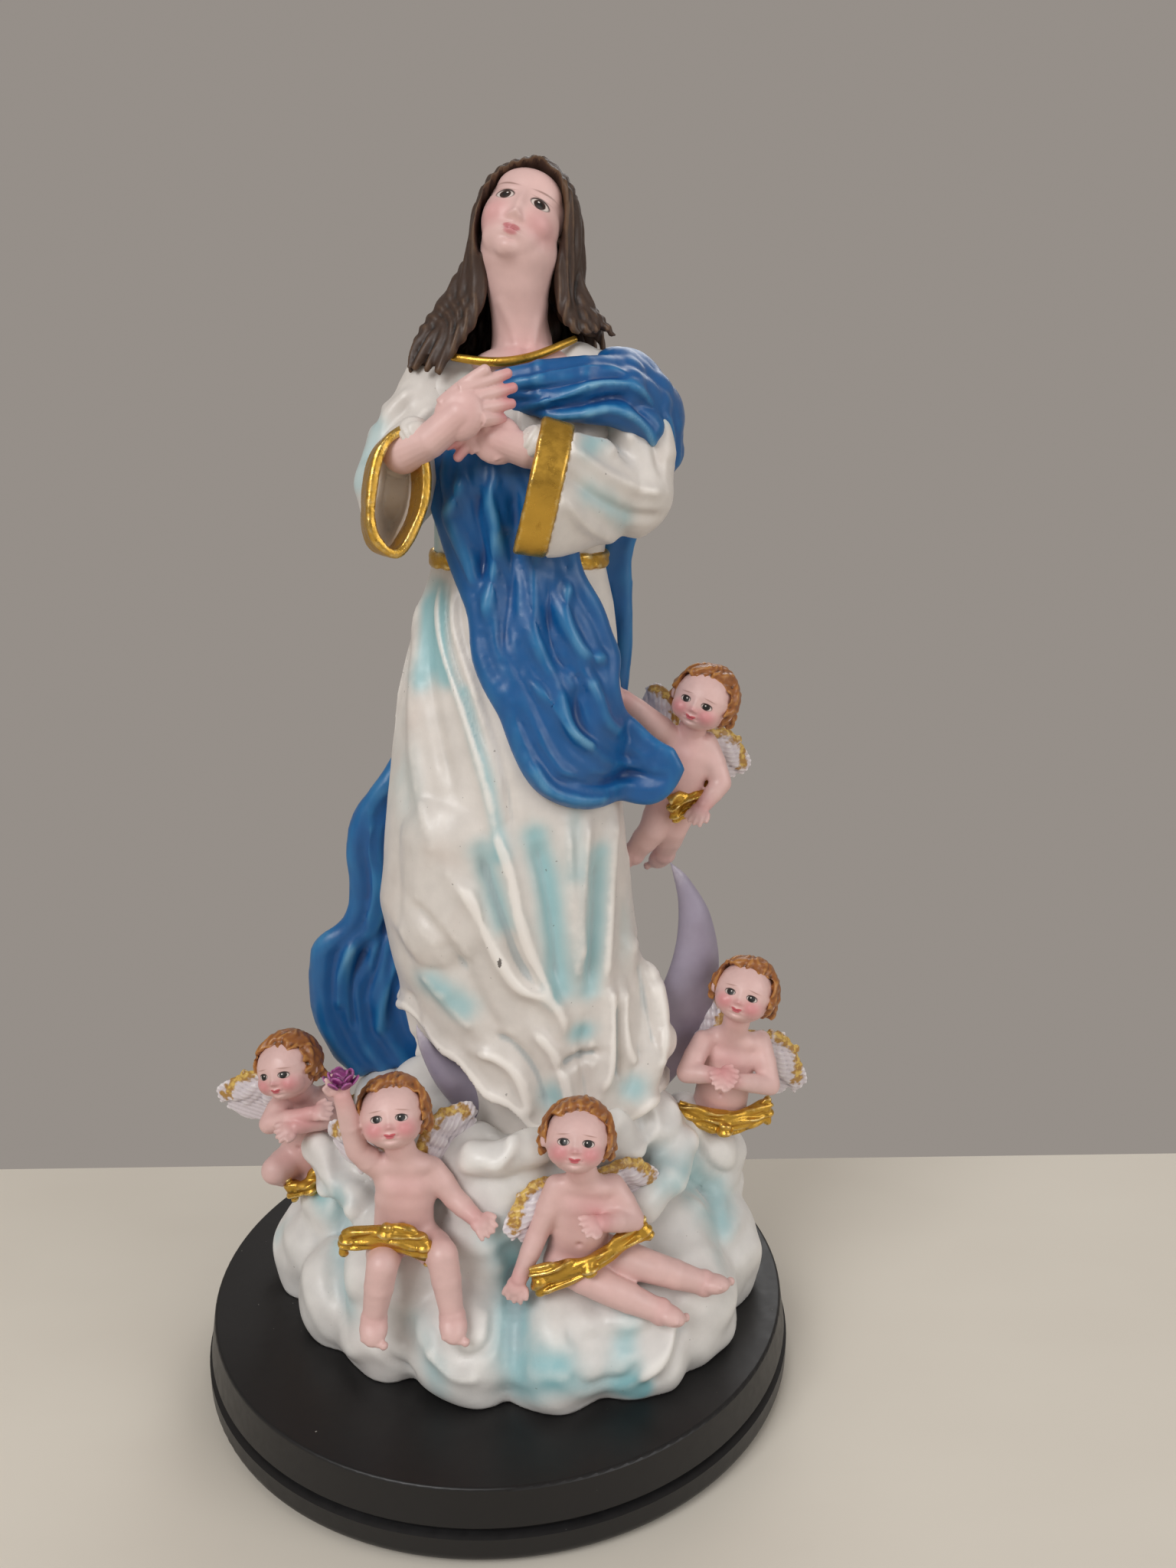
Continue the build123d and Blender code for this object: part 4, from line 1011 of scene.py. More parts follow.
def loft_rings(name, rings, columns=96, joined=False):
    """A skin through oval rings, each its centre, two axes and two half sizes; closed where they end."""
    bpy.ops.mesh.primitive_grid_add(x_subdivisions=columns, y_subdivisions=len(rings) - 1, size=1)
    piece = bpy.context.object
    piece.name = name
    flat = np.empty(len(piece.data.vertices) * 3)
    piece.data.vertices.foreach_get("co", flat)
    flat = flat.reshape(-1, 3) + 0.5
    turn = flat[:, 0] * 2 * np.pi
    row = np.rint(flat[:, 1] * (len(rings) - 1)).astype(int)
    centre, first, second = (np.array([unit(r[i]) if i else r[i] for r in rings], float)[row]
                             for i in (0, 1, 2))
    a, b = np.array([r[3] for r in rings])[row], np.array([r[4] for r in rings])[row]
    wave = np.array([r[5] if len(r) > 5 else 0 for r in rings])[row]
    lobes = 1 + wave * np.sin(5 * turn + 3 * (row % (len(rings) - 1)) / len(rings))
    sideways, upward = a * lobes * np.cos(turn), b * lobes * np.sin(turn)
    move_points(piece, centre + first * sideways[:, None] + second * upward[:, None])
    pick(piece)
    bpy.ops.object.mode_set(mode="EDIT")
    bpy.ops.mesh.select_all(action="SELECT")
    bpy.ops.mesh.remove_doubles(threshold=0.00001)
    if not joined:
        bpy.ops.mesh.fill_holes(sides=0)
    bpy.ops.mesh.normals_make_consistent(inside=False)
    bpy.ops.object.mode_set(mode="OBJECT")
    turn_outward(piece)
    return piece


def turn_outward(piece):
    """Flip the faces of a closed skin that encloses less than nothing, so that they all look outward."""
    faces = [face for face in piece.data.polygons if len(face.vertices) < 5]
    corners = np.array([list(face.vertices)[:3] for face in faces])
    points = points_of(piece)
    first, second, third = (points[corners[:, i]] - points.mean(0) for i in range(3))
    if (first * np.cross(second, third)).sum() < 0:
        bpy.ops.object.mode_set(mode="EDIT")
        bpy.ops.mesh.select_all(action="SELECT")
        bpy.ops.mesh.flip_normals()
        bpy.ops.object.mode_set(mode="OBJECT")


def figure_skin(name, low, high):
    """The plain dressed figure between two heights above the plinth."""
    rings, step = [], 2.0
    for h in np.arange(low, high + step / 2, step):
        cx, cy, rx, ry = figure_at(h + PLINTH_TOP)
        rings.append(((cx, cy, h + PLINTH_TOP), (1, 0, 0), (0, 1, 0), rx, ry))
    return loft_rings(name, rings, 120)


def between(left, right, count, steps=14):
    """Lines that run side by side from one edge to the other, evenly spread."""
    def even(line):
        line = smooth_line(line)
        far = np.concatenate([[0], np.cumsum(np.linalg.norm(np.diff(line, axis=0), axis=1))])
        marks = np.linspace(0, far[-1], steps)
        return np.column_stack([np.interp(marks, far, line[:, i]) for i in range(line.shape[1])])
    a, b = even(left), even(right)
    return [a * (1 - s) + b * s for s in np.linspace(0, 1, count)]


def wash_along(piece, lines, spots=()):
    """How much aqua was airbrushed at each vertex: along lines and at spots seen from the front."""
    points = points_of(piece)
    flat, total = points[:, [0, 2]], np.zeros(len(points))
    for outline, width, amount in lines:
        far, _ = along_line(flat, smooth_line(outline, 2.0))
        total += amount * np.exp(-(far / (1.5 * width)) ** 2)
    for x, z, width, height, amount in spots:
        total += amount * np.exp(-((flat[:, 0] - x) / width) ** 2 - ((flat[:, 1] - z) / height) ** 2)
    return total * smoothstep(-normals_of(piece)[:, 1], -0.3, 0.2)


ROBE_STROKES = [
    # line of x and z, width, height: gathers under the belt
    ([(-10, 208), (-11, 200), (-10, 192), (-7, 182), (-4, 172), (-1, 160), (1, 150)], 1.7, 1.5),
    ([(-7, 208), (-8, 198), (-6, 190), (-2, 178), (1, 168), (3, 155)], 1.3, 1.1),
    ([(-8.5, 209), (-9.6, 200), (-8.4, 190), (-5, 180), (-1.5, 168)], 0.9, -1.1),
    ([(-12.5, 207), (-14, 197), (-14, 186), (-12, 172), (-9, 160)], 1.6, -1.2),
    ([(-15, 204), (-17, 192), (-18, 178), (-17, 162), (-14, 148)], 1.9, 1.2),
    ([(-18, 196), (-20.5, 182), (-21.5, 166), (-20, 150)], 1.8, -1.0),
    ([(-4, 206), (-4.5, 198), (-3, 188)], 1.0, 0.7),
    ([(-3, 184), (0, 174), (3, 162), (5, 150)], 1.3, -1.0),
    # the bent knee and the folds that hang from it
    ([(-20, 134), (-12, 126), (-6, 116)], 1.8, -1.3), ([(-24, 128), (-17, 118), (-10, 109)], 2.2, 0.9),
    ([(-10, 141.5), (-5.5, 135.5), (-1, 125), (4.7, 115), (11, 111), (15, 105.5), (15, 99)], 2.0, 2.3),
    ([(0, 152.5), (3.7, 141.5), (5.9, 130), (9.6, 118), (14.7, 109)], 1.8, 2.0),
    ([(-3, 147), (-1, 139), (2, 130), (5, 121), (9, 115)], 1.5, -1.8),
    ([(9.6, 149.5), (12, 138.5), (13.7, 126.7), (14.7, 112.5)], 1.8, -1.7),
    ([(-14, 126), (-8, 117), (-3, 108), (1, 101)], 2.2, -1.2),
    ([(-18, 116), (-11, 108), (-5, 102)], 2.0, 1.0),
    # long folds on the other side
    ([(17, 152), (17.5, 140), (18, 126), (19, 112)], 1.7, 1.3),
    ([(22, 153), (21, 143), (20, 130), (20.5, 116)], 1.6, 1.5),
    ([(25, 143), (24, 127), (22.4, 111)], 1.6, -1.6), ([(29, 153), (27.5, 136), (25.7, 109)], 1.7, 1.8),
    ([(31, 148), (31, 131), (30, 112)], 1.5, -1.1), ([(33, 140), (33.5, 126), (35, 113)], 1.6, 0.9),
    # the hem
    ([(14.5, 93), (18, 94.5), (25, 95)], 1.3, -2.4),
    ([(27, 111), (27.5, 101), (27, 91.5), (24.5, 84)], 1.6, 2.0),
    ([(31, 109), (30.5, 101), (31.5, 94), (34, 88)], 1.4, 1.7),
    ([(29, 106), (29, 96), (29.5, 86)], 1.0, -1.8), ([(-6, 97), (0, 96), (5, 91), (8, 80)], 1.8, 2.0),
    ([(-2, 102), (4, 99), (9, 92), (12, 82)], 1.4, -1.5),
    ([(8, 104), (13, 97), (16, 88), (17, 78)], 1.7, 1.8),
    ([(21, 104), (20.5, 97), (21, 88), (22, 78)], 1.4, -1.3),
    ([(36, 114), (37, 102), (39, 92)], 1.4, -1.3), ([(40, 108), (41.5, 98), (40, 86)], 1.5, 1.3),
    ([(-22, 108), (-18, 99), (-14, 92)], 1.6, -1.2), ([(-26, 106), (-23, 97), (-21, 88)], 1.6, 1.1),
]
ROBE_HEM = [(-60, 90), (-34, 97), (-22, 100), (-16, 98), (-11, 93), (-4, 87), (2, 82), (8, 78), (16, 75),
            (26, 74), (34, 77),
            (40, 77), (46, 78), (60, 86)]


# The belt: the middle of its oval, its half width and half depth, how much flatter it lies at the back, its
# height, the radius of each of its two cords, and the steps around it; all in millimetres.
BELT_MIDDLE, BELT_WIDTH, BELT_DEPTH, BELT_FLATTER, BELT_HEIGHT, BELT_CORD = 7.5, 20.3, 14.7, 1.8, 211, 1.15
BELT_STEPS = 33
# The gilt edge of the neckline: its line from the plinth's top, and its radii.
COLLAR = [(-7, -8.2, 236), (-2, -10.8, 235.0), (4, -12.0, 234.6), (10, -11.6, 235.6), (15, -9.8, 237.5),
          (20.5, -6.0, 240.2)]
COLLAR_RADII = [0.85, 1.0, 1.05, 1.05, 1.0, 0.8]


class DressRobe(bpy.types.Operator):
    """Model the robe's skirt and bodice, the belt and the gilt neckline"""

    bl_idname = "statuette.robe"
    bl_label = "Robe"

    def execute(self, context):
        sizes = context.scene.statuette_sizes
        deep = sizes.fold_depth
        parts = [figure_skin("skirt_form", 42, 192)]
        parts += lifted_limbs(([(-8, -13, 128), (-7, -12, 108)], [14.0, 16.3]))
        parts += lifted_limbs(([(26, -8, 98), (36, -6, 84), (34, -12, 66)], [8.0, 5.8, 7.6]),
                              ([(37, -8, 88), (40, -13, 73), (33, -19, 61)], [4.2, 5.4, 5.6]))
        skirt = fuse("robe_skirt_folds", parts, GRAINS["robe"], 10)
        points = points_of(skirt)
        cx, cy, rx, ry = figure_at(points[:, 2])
        turn = np.arctan2((points[:, 1] - cy) / ry, (points[:, 0] - cx) / rx)
        sway = ripple(points * (1, 1, 0.25), 40.0, 4) * 0.5
        pleats = np.sin(turn * 11 + sway * 2 + points[:, 2] * 0.012) * 0.9
        pleats += np.sin(turn * 23 + sway * 4) * 0.30
        rear = smoothstep(points[:, 1], -8, 6)
        fall = smoothstep(-points[:, 2], -209, -195)
        level = smoothstep(-np.abs(normals_of(skirt)[:, 2]), -0.7, -0.4)
        gather = np.sin(turn * 30 + points[:, 2] * 0.03) * 0.45 * smoothstep(points[:, 2], 178, 205)
        folds = pleats * rear + gather * rear + 0.10 * ripple(points, 13.0, 8)
        swell(skirt, folds * fall * level)
        strokes(skirt, [(line, width, height * deep) for line, width, height in ROBE_STROKES])
        points = points_of(skirt)
        cx, cy, rx, ry = figure_at(points[:, 2])
        hem = np.interp(points[:, 0], *np.array(ROBE_HEM, float).T)
        hem = np.where(points[:, 1] < 0, hem, 79 + 3 * np.sin(points[:, 0] * 0.28))
        hem += 1.2 * np.sin(points[:, 0] * 0.55)
        out = np.column_stack([points[:, 0] - cx, points[:, 1] - cy, np.zeros(len(points))])
        out /= np.maximum(np.linalg.norm(out, axis=1), 1e-6)[:, None]
        above = points[:, 2] - hem
        rolled = 1.7 - 1.4 * smoothstep(points[:, 1], -4, 8)
        flare = rolled * np.exp(-((above - 1.4) / 2.2) ** 2) - 5.0 * smoothstep(-above, -0.4, 1.0)
        move_points(skirt, points + out * flare[:, None])
        note_relief(skirt, 26, scale=0.8)
        wash = wash_along(skirt, [
            ([(-3, 147), (2, 130)], 2.6, 0.8), ([(9.6, 149.5), (12, 138.5), (13.7, 126.7), (14.7, 112.5)],
                                                2.6, 1.0),
            ([(25, 143), (24, 127), (22.4, 111)], 2.4, 0.9),
            ([(-13, 200), (-14, 190), (-16, 184)], 2.2, 1.0),
            ([(-11, 205), (-12, 195), (-10, 185)], 1.8, 0.9),
            ([(-6, 182), (-3, 170), (0, 158), (2, 146)], 1.4, 0.8),
            ([(-15, 113), (-8, 108)], 3.2, 0.9), ([(19, 158), (19, 140)], 1.8, 0.5),
        ], [(20, 101, 4, 3, 1.0), (13, 86, 4, 5, 0.9), (33, 84, 5, 4, 0.9), (-20, 160, 5, 12, 0.5),
            (32, 122, 3, 10, 0.4)])
        points = points_of(skirt)
        clouds = smoothstep(ripple(points * (1, 1, 0.4), 34.0, 21), 0.25, 0.9)
        note(skirt, "wash", wash + smoothstep(points[:, 1], 2, 12) * clouds * 0.8)
        chip = ((points - on_figure(0.9, 121.0, 4.0)) ** 2 * (1, 0.05, 0.25)).sum(1)
        note(skirt, "chip", np.exp(-chip / 0.9))
        finish(skirt, "robe_resin", FINISHES["robe"], "robe_skirt")

        parts = [figure_skin("bodice_form", 190, 234)]
        parts += lifted_limbs(([(-9, 0, 227), (10, 1, 230), (31, 1, 228)], [9.0, 8.0, 9.5]),
                              ([(13, -2, 232.5), (21, -2, 233.5), (29, -1, 231.0)], [6.4, 6.6, 6.6]))
        bodice = fuse("bodice_folds", parts, GRAINS["bodice"], 10)
        gathers = []
        for k in range(7):
            line = [(-6 + 5 * k, 252), (-5 + 4.2 * k, 240), (-4 + 4 * k, 226), (-5 + 3.8 * k, 213)]
            gathers.append((line, 1.3, 0.9 if k % 2 else -0.9))
        strokes(bodice, gathers)
        points = points_of(bodice)
        rear = smoothstep(points[:, 1], -2, 6)
        swell(bodice, np.sin(points[:, 0] * 0.75 + ripple(points, 20.0, 6) * 1.4) * 0.7 * rear)
        note_relief(bodice, 20, scale=0.8)
        shaded = [([(-3, 250), (0, 238)], 2.0, 0.5), ([(-12, 222), (-13, 213)], 2.4, 0.8)]
        note(bodice, "wash", wash_along(bodice, shaded))
        note_plain(bodice, "chip")
        finish(bodice, "robe_resin", FINISHES["robe"], "bodice")

        around = []
        for turn in np.linspace(0, 2 * np.pi, BELT_STEPS):
            depth = BELT_DEPTH - BELT_FLATTER * max(math.sin(turn), 0) ** 2
            around.append((BELT_MIDDLE + BELT_WIDTH * math.cos(turn), depth * math.sin(turn),
                           BELT_HEIGHT + 0.5 * math.sin(turn * 3)))
        paths = [([np.array(p) + (0, 0, lift) for p in around], [BELT_CORD] * BELT_STEPS)
                 for lift in (-0.8, 0.8)]
        belt = fuse("gilt_belt", [tubes(paths)], GRAINS["belt"], 2)
        swell(belt, ripple(points_of(belt), 3.0, 2) * 0.15)
        note_relief(belt, 8, scale=0.3)
        finish(belt, "gilding", FINISHES["gilt"], "belt")

        collar = [lifted(p) for p in COLLAR]
        rim = fuse("gilt_neckline", [tubes([(collar, COLLAR_RADII)])], GRAINS["neckline"], 2)
        note_relief(rim, 6, scale=0.3)
        finish(rim, "gilding", FINISHES["gilt"], "neck_trim")
        return {"FINISHED"}


SLEEVES = {
    "right": dict(arm=[(-12, 0, 227), (-20, -7, 208)], radii=[9.0, 9.3], centre=(-20.5, -21.0, 207.0),
                  facing=(0.35, -0.93, 0.1), roll=-13.0, half=(5.8, 13.0),
                  inner=[(-20, -13, 214), (-17.5, -19, 217), (-15, -23.5, 219)]),
    "left": dict(arm=[(34, -1, 227), (33, -9, 207)], radii=[9.0, 9.6], centre=(15.5, -24.0, 207.0),
                 facing=(-0.97, 0.02, 0.23), roll=0.0, half=(7.5, 13.5),
                 inner=[(22, -19, 213), (16, -23.0, 215.5), (11, -25.0, 217.3)]),
}
INNER_SLEEVE_RADII = [5.0, 4.3, 3.8]
SLEEVE_STROKES = {
    "right": [([(-10, 246), (-16, 240), (-22, 232), (-25, 222)], 1.4, 1.1),
              ([(-7, 243), (-13, 238), (-18, 231)], 1.2, -1.0),
              ([(-14, 249), (-21, 243), (-27, 234), (-29, 224)], 1.5, 1.1),
              ([(-16, 246), (-23, 238), (-27, 228)], 1.2, -1.1),
              ([(-28, 236), (-30, 226), (-29, 216)], 1.4, -0.9)],
    "left": [([(19, 246), (23, 240), (29, 233.5)], 1.5, 1.3),
             ([(25, 248), (29, 241), (33.5, 236.5)], 1.5, 1.4),
             ([(22, 245), (27, 238), (33, 232)], 1.2, -1.2),
             ([(17, 236), (24, 231), (33, 227), (40, 226)], 1.5, 1.2),
             ([(16, 231), (24, 225), (33, 221), (40, 221)], 1.3, -1.2),
             ([(15, 226), (22, 219), (31, 215), (38, 217)], 1.6, 1.2),
             ([(36, 249), (40, 241), (42, 232)], 1.5, 1.1),
             ([(33, 246), (37, 238), (39, 230)], 1.1, -1.0)],
}


# The section of a cuff: how far out of the sleeve's mouth, and how far off its edge.
CUFF_PROFILE = [(-0.2, 0.3), (0.3, 0.75), (3.4, 0.95), (6.4, 1.1), (7.0, 0.5), (6.9, -1.0), (2.6, -1.4),
                (-0.2, -1.5), (-0.2, 0.3)]


def mouth_axes(facing, roll):
    """Across and up in the plane of a sleeve's open end, and the way it faces."""
    out = unit(facing)
    across = unit(np.cross((0, 0, 1), out))
    up = np.cross(out, across)
    lean = math.radians(roll)
    return (math.cos(lean) * across + math.sin(lean) * up, -math.sin(lean) * across + math.cos(lean) * up,
            out)


class HangSleeves(bpy.types.Operator):
    """Model the wide sleeves, their gilt cuffs and the close inner sleeves"""

    bl_idname = "statuette.sleeves"
    bl_label = "Sleeves"

    def execute(self, context):
        for side, cut in SLEEVES.items():
            across, up, out = mouth_axes(cut["facing"], cut["roll"])
            centre, elbow = lifted(cut["centre"]), lifted(cut["arm"][1])
            half_width, half_height = cut["half"]
            rings = [(elbow - out * 4, across, up, 0.0, 0.0)]
            for t in np.linspace(0, 1, 16):
                middle = elbow * (1 - t) + centre * t - np.array([0, 0, 1.2 * math.sin(t * math.pi)])
                ease = t * t * (3 - 2 * t)
                rings.append((middle, across, up, cut["radii"][1] * (1 - ease) + half_width * ease,
                              cut["radii"][1] * (1 - ease) + half_height * ease, 0.035 * t))
            for back_off, thin in ((0.3, 2.0), (2.5, 2.3), (6.0, 3.0), (9.0, 4.0)):
                middle = centre + unit(elbow - centre) * back_off
                rings.append((middle, across, up, half_width - thin, half_height - thin, 0.03))
            rings.append((centre + unit(elbow - centre) * 9.5, across, up, 0.0, 0.0))
            parts = [loft_rings("sleeve_form", rings)]
            parts += lifted_limbs((cut["arm"], cut["radii"]))
            sleeve = fuse(side + "_sleeve_folds", parts, GRAINS["sleeve"], 6)
            strokes(sleeve, SLEEVE_STROKES[side])
            points = points_of(sleeve)
            rear = smoothstep(points[:, 1], -10, 0)
            folds = np.sin(points[:, 2] * 0.62 + points[:, 0] * 0.3 + ripple(points, 22.0, 9) * 1.6)
            swell(sleeve, folds * 0.75 * rear + 0.08 * ripple(points, 10.0, 5))
            note_relief(sleeve, 20, scale=0.8)
            wash = wash_along(sleeve, [([(29, 245), (24, 238), (22, 236)], 2.2, 0.8),
                                       ([(38, 250), (41, 243)], 2.2, 0.8),
                                       ([(22, 226), (30, 221)], 2.4, 0.7),
                                       ([(-24, 240), (-28, 228)], 2.4, 0.7)])
            note(sleeve, "wash", wash)
            note_plain(sleeve, "chip")
            finish(sleeve, "robe_resin", FINISHES["robe"], side + "_sleeve")

            rings = []
            for reach, grow in CUFF_PROFILE:
                rings.append((centre + out * reach, across, up, half_width + grow, half_height + grow,
                              0.03))
            form = loft_rings("cuff_form", rings, joined=True)
            cuff = fuse(side + "_gilt_cuff", [form], GRAINS["cuff"], 2)
            points = points_of(cuff)
            swell(cuff, 0.05 * np.sin((points @ up) * 0.9 + ripple(points, 9.0, 3) * 2))
            note_relief(cuff, 8, scale=0.3)
            finish(cuff, "gilding", FINISHES["gilt"], side + "_cuff")

            inner = [lifted(p) for p in cut["inner"]]
            parts = limbs([(inner, INNER_SLEEVE_RADII)])
            close = fuse(side + "_inner_sleeve_folds", parts, GRAINS["inner_sleeve"], 3)
            points = points_of(close)
            run = unit(inner[-1] - inner[0])
            rucks = 0.35 * np.abs(np.sin((points @ run) * 1.9 + ripple(points, 6.0, 12) * 1.2)) - 0.15
            swell(close, rucks)
            note_relief(close, 10, scale=0.5)
            note_plain(close, "wash", "chip")
            finish(close, "robe_resin", FINISHES["robe"], side + "_inner_sleeve")
        return {"FINISHED"}


def slender_hand(name, wrist, palm, tips, thumb, normal, start):
    """An adult hand: forearm, palm, four long fingers to their tips and a thumb."""
    wrist, palm, start = (np.array(p, float) for p in (wrist, palm, start))
    out = unit(palm - wrist)
    normal = unit(np.array(normal, float) - out * (np.array(normal) @ out))
    across = np.cross(out, normal)
    parts = limbs([([start, wrist], [4.5, 3.6]), ([wrist, palm], [3.6, 3.5])])
    parts.append(ball(palm, (5.6, 5.3, 2.8), [out, across, normal], 20))
    paths = []
    for i, tip in enumerate(tips):
        tip = np.array(tip, float)
        root = palm + out * 3.0 + across * (-3.5 + 2.35 * i)
        bend = root * 0.45 + tip * 0.55 + normal * 0.8
        paths.append(([root, bend, tip], [1.75, 1.5, 1.12]))
    thumb = np.array(thumb, float)
    root = palm - out * 1.8 - across * 3.4
    paths.append(([root, root * 0.5 + thumb * 0.5 - across * 0.6, thumb], [2.1, 1.75, 1.3]))
    parts.append(tubes(paths))
    parts += [ball(points[-1], radii[-1], segments=12) for points, radii in paths]
    piece = fuse(name, parts, GRAINS["hand"], 2)
    note_relief(piece, 8, scale=0.25)
    points = points_of(piece)
    flush = sum(near(points, tip, 9) for tip in tips) * 0.6
    flush += near(points, palm, 40) * 0.35
    note(piece, "blush", np.clip(flush, 0, 1))
    note(piece, "face", np.full((len(points), 3), 50.0))
    return piece


NECK = [(8.2, -4.2, 277.0), (7.9, -3.4, 271.5), (8.0, -1.6, 264.5), (8.8, -0.4, 259.0),
        (8.8, -0.2, 253.5)]
NECK_RADII = [8.6, 7.4, 6.2, 6.8, 8.0]


class ModelHead(bpy.types.Operator):
    """Model the Madonna's head, neck and crossed hands"""

    bl_idname = "statuette.head"
    bl_label = "Head and hands"

    def execute(self, context):
        across, up, ahead = HEAD_AXES

        def spot(u, v, w):
            """A place of the head from its middle: across, up and ahead."""
            return HEAD_MIDDLE + across * u + up * v + ahead * w

        parts = [
            ball(spot(0, 2.4, -2.2), (9.3, 9.2, 9.6), HEAD_AXES),
            ball(spot(0, -1.8, 1.2), (8.7, 8.7, 7.8), HEAD_AXES),
            ball(spot(0, -6.6, 2.2), (7.0, 5.8, 6.0), HEAD_AXES),
            ball(spot(0, -9.9, 4.6), (3.3, 2.6, 2.8), HEAD_AXES),
            ball(spot(0, 4.2, 3.2), (7.4, 5.6, 5.0), HEAD_AXES),
        ]
        for side in (-1, 1):
            parts.append(ball(spot(side * 4.2, -3.2, 3.9), 3.6, segments=20))
        parts += limbs([(np.array(NECK, float), NECK_RADII)])
        parts.append(ball((9.5, -3.0, 252.5), (13.0, 8.4, 5.8), segments=32))
        head = fuse("madonna_head", parts, GRAINS["head"], 22)
        points = points_of(head)
        throat = smoothstep(-((points - (8.2, -6.0, 268.0)) ** 2 / (90, 90, 70)).sum(1), -1.6, -0.7)
        move_points(head, points + (evened(head, points, 60) - points) * throat[:, None])
        model_face(head, HEAD_MIDDLE, HEAD_AXES, FACE_UNIT, CALM_FORMS)
        strokes(head, [([(3.0, 268), (6.0, 262), (8.2, 256)], 1.1, 0.35),
                       ([(14.6, 268), (12.2, 262), (10.4, 256)], 1.1, 0.35),
                       ([(9.4, 257.5), (9.4, 254)], 1.2, -0.6)])
        note_relief(head, 12, scale=0.4)
        points = points_of(head)
        flush = 0.45 * near(points, (9.0, -9.0, 256.0), 40)
        note(head, "blush", np.clip(flush, 0, 1))
        finish(head, "skin_resin", FINISHES["calm_skin"], "head")

        right = slender_hand("right_hand_fingers", (-11.6, -25.6, 236.8), (-5.2, -27.4, 242.0),
                             [(4.9, -24.6, 250.4), (6.0, -24.2, 247.6), (5.6, -24.4, 244.4),
                              (3.6, -24.8, 241.4)],
                             (0.2, -26.8, 250.8), (0.1, -1.0, 0.25), (-17.5, -22.0, 234.5))
        finish(right, "skin_resin", FINISHES["calm_skin"], "right_hand")
        left = slender_hand("left_hand_fingers", (8.8, -24.0, 234.8), (2.4, -23.6, 237.2),
                            [(-6.9, -23.6, 241.8), (-8.2, -23.6, 239.0), (-7.8, -23.6, 236.0),
                             (-5.8, -23.8, 233.6)],
                            (-0.5, -25.0, 242.4), (-0.1, -1.0, 0.1), (12.5, -23.0, 234.8))
        finish(left, "skin_resin", FINISHES["calm_skin"], "left_hand")
        return {"FINISHED"}


HAIR_GUIDES = {
    # Lines from the parting to the ends, on each side: beside the face, over the ear and down the back.
    "right": [
        [(12.0, -7.6, 294.6), (4.6, -8.6, 292.6), (0.6, -7.6, 285.5), (-0.6, -6.0, 277),
         (-0.8, -5.4, 269.5), (-3.4, -8, 262),
         (-7, -10.0, 256), (-9.5, -11, 251.5)],
        [(13.0, -1, 296.4), (4.6, -2.6, 294.6), (0.3, -2.2, 287), (-1.6, -1.5, 278), (-3.8, -1.5, 270),
         (-10.0, -2, 264.5),
         (-15.5, -4, 258), (-17.5, -6, 252.5)],
        [(13, 6, 295.0), (5.6, 9, 292.2), (0.4, 11.4, 284), (0, 13.4, 274), (-1, 14, 266),
         (-6, 13.5, 259),
         (-9, 12, 251), (-9, 11.5, 245)],
        [(13.4, 9.5, 292.0), (10.2, 13.2, 287), (9.6, 15.4, 279), (9.6, 16.4, 270), (9.4, 17, 262),
         (8.4, 17.2, 254),
         (7.6, 17.2, 246), (7, 16.8, 241)],
    ],
    "left": [
        [(12.0, -7.6, 294.6), (17.0, -7.6, 291.4), (19.4, -7.0, 284.5), (19.0, -6.2, 277),
         (17.0, -5.4, 270), (17.6, -7.2, 265),
         (19.6, -9.0, 262), (21.6, -9.6, 260)],
        [(13.0, -1, 296.4), (18.4, -2.4, 292.8), (20.6, -2, 286), (20.8, -1.4, 277), (21.2, -1.5, 270.5),
         (24, -2.5, 266.5),
         (27, -4, 263.5), (29, -5, 261)],
        [(13, 6, 295.0), (19.4, 8.6, 291.6), (21.6, 10.6, 284), (21.4, 13.0, 274), (21.6, 14, 266),
         (23, 13.8, 259),
         (24, 12.5, 252), (24, 12, 246)],
        [(13.4, 9.5, 292.0), (13.6, 13.0, 287), (13.2, 15.4, 279), (13.0, 16.4, 270), (13.2, 17, 262),
         (13.4, 17.2, 254),
         (13.6, 17.2, 246), (13.6, 16.8, 241)],
    ],
}
LOCKS_PER_SIDE = 15


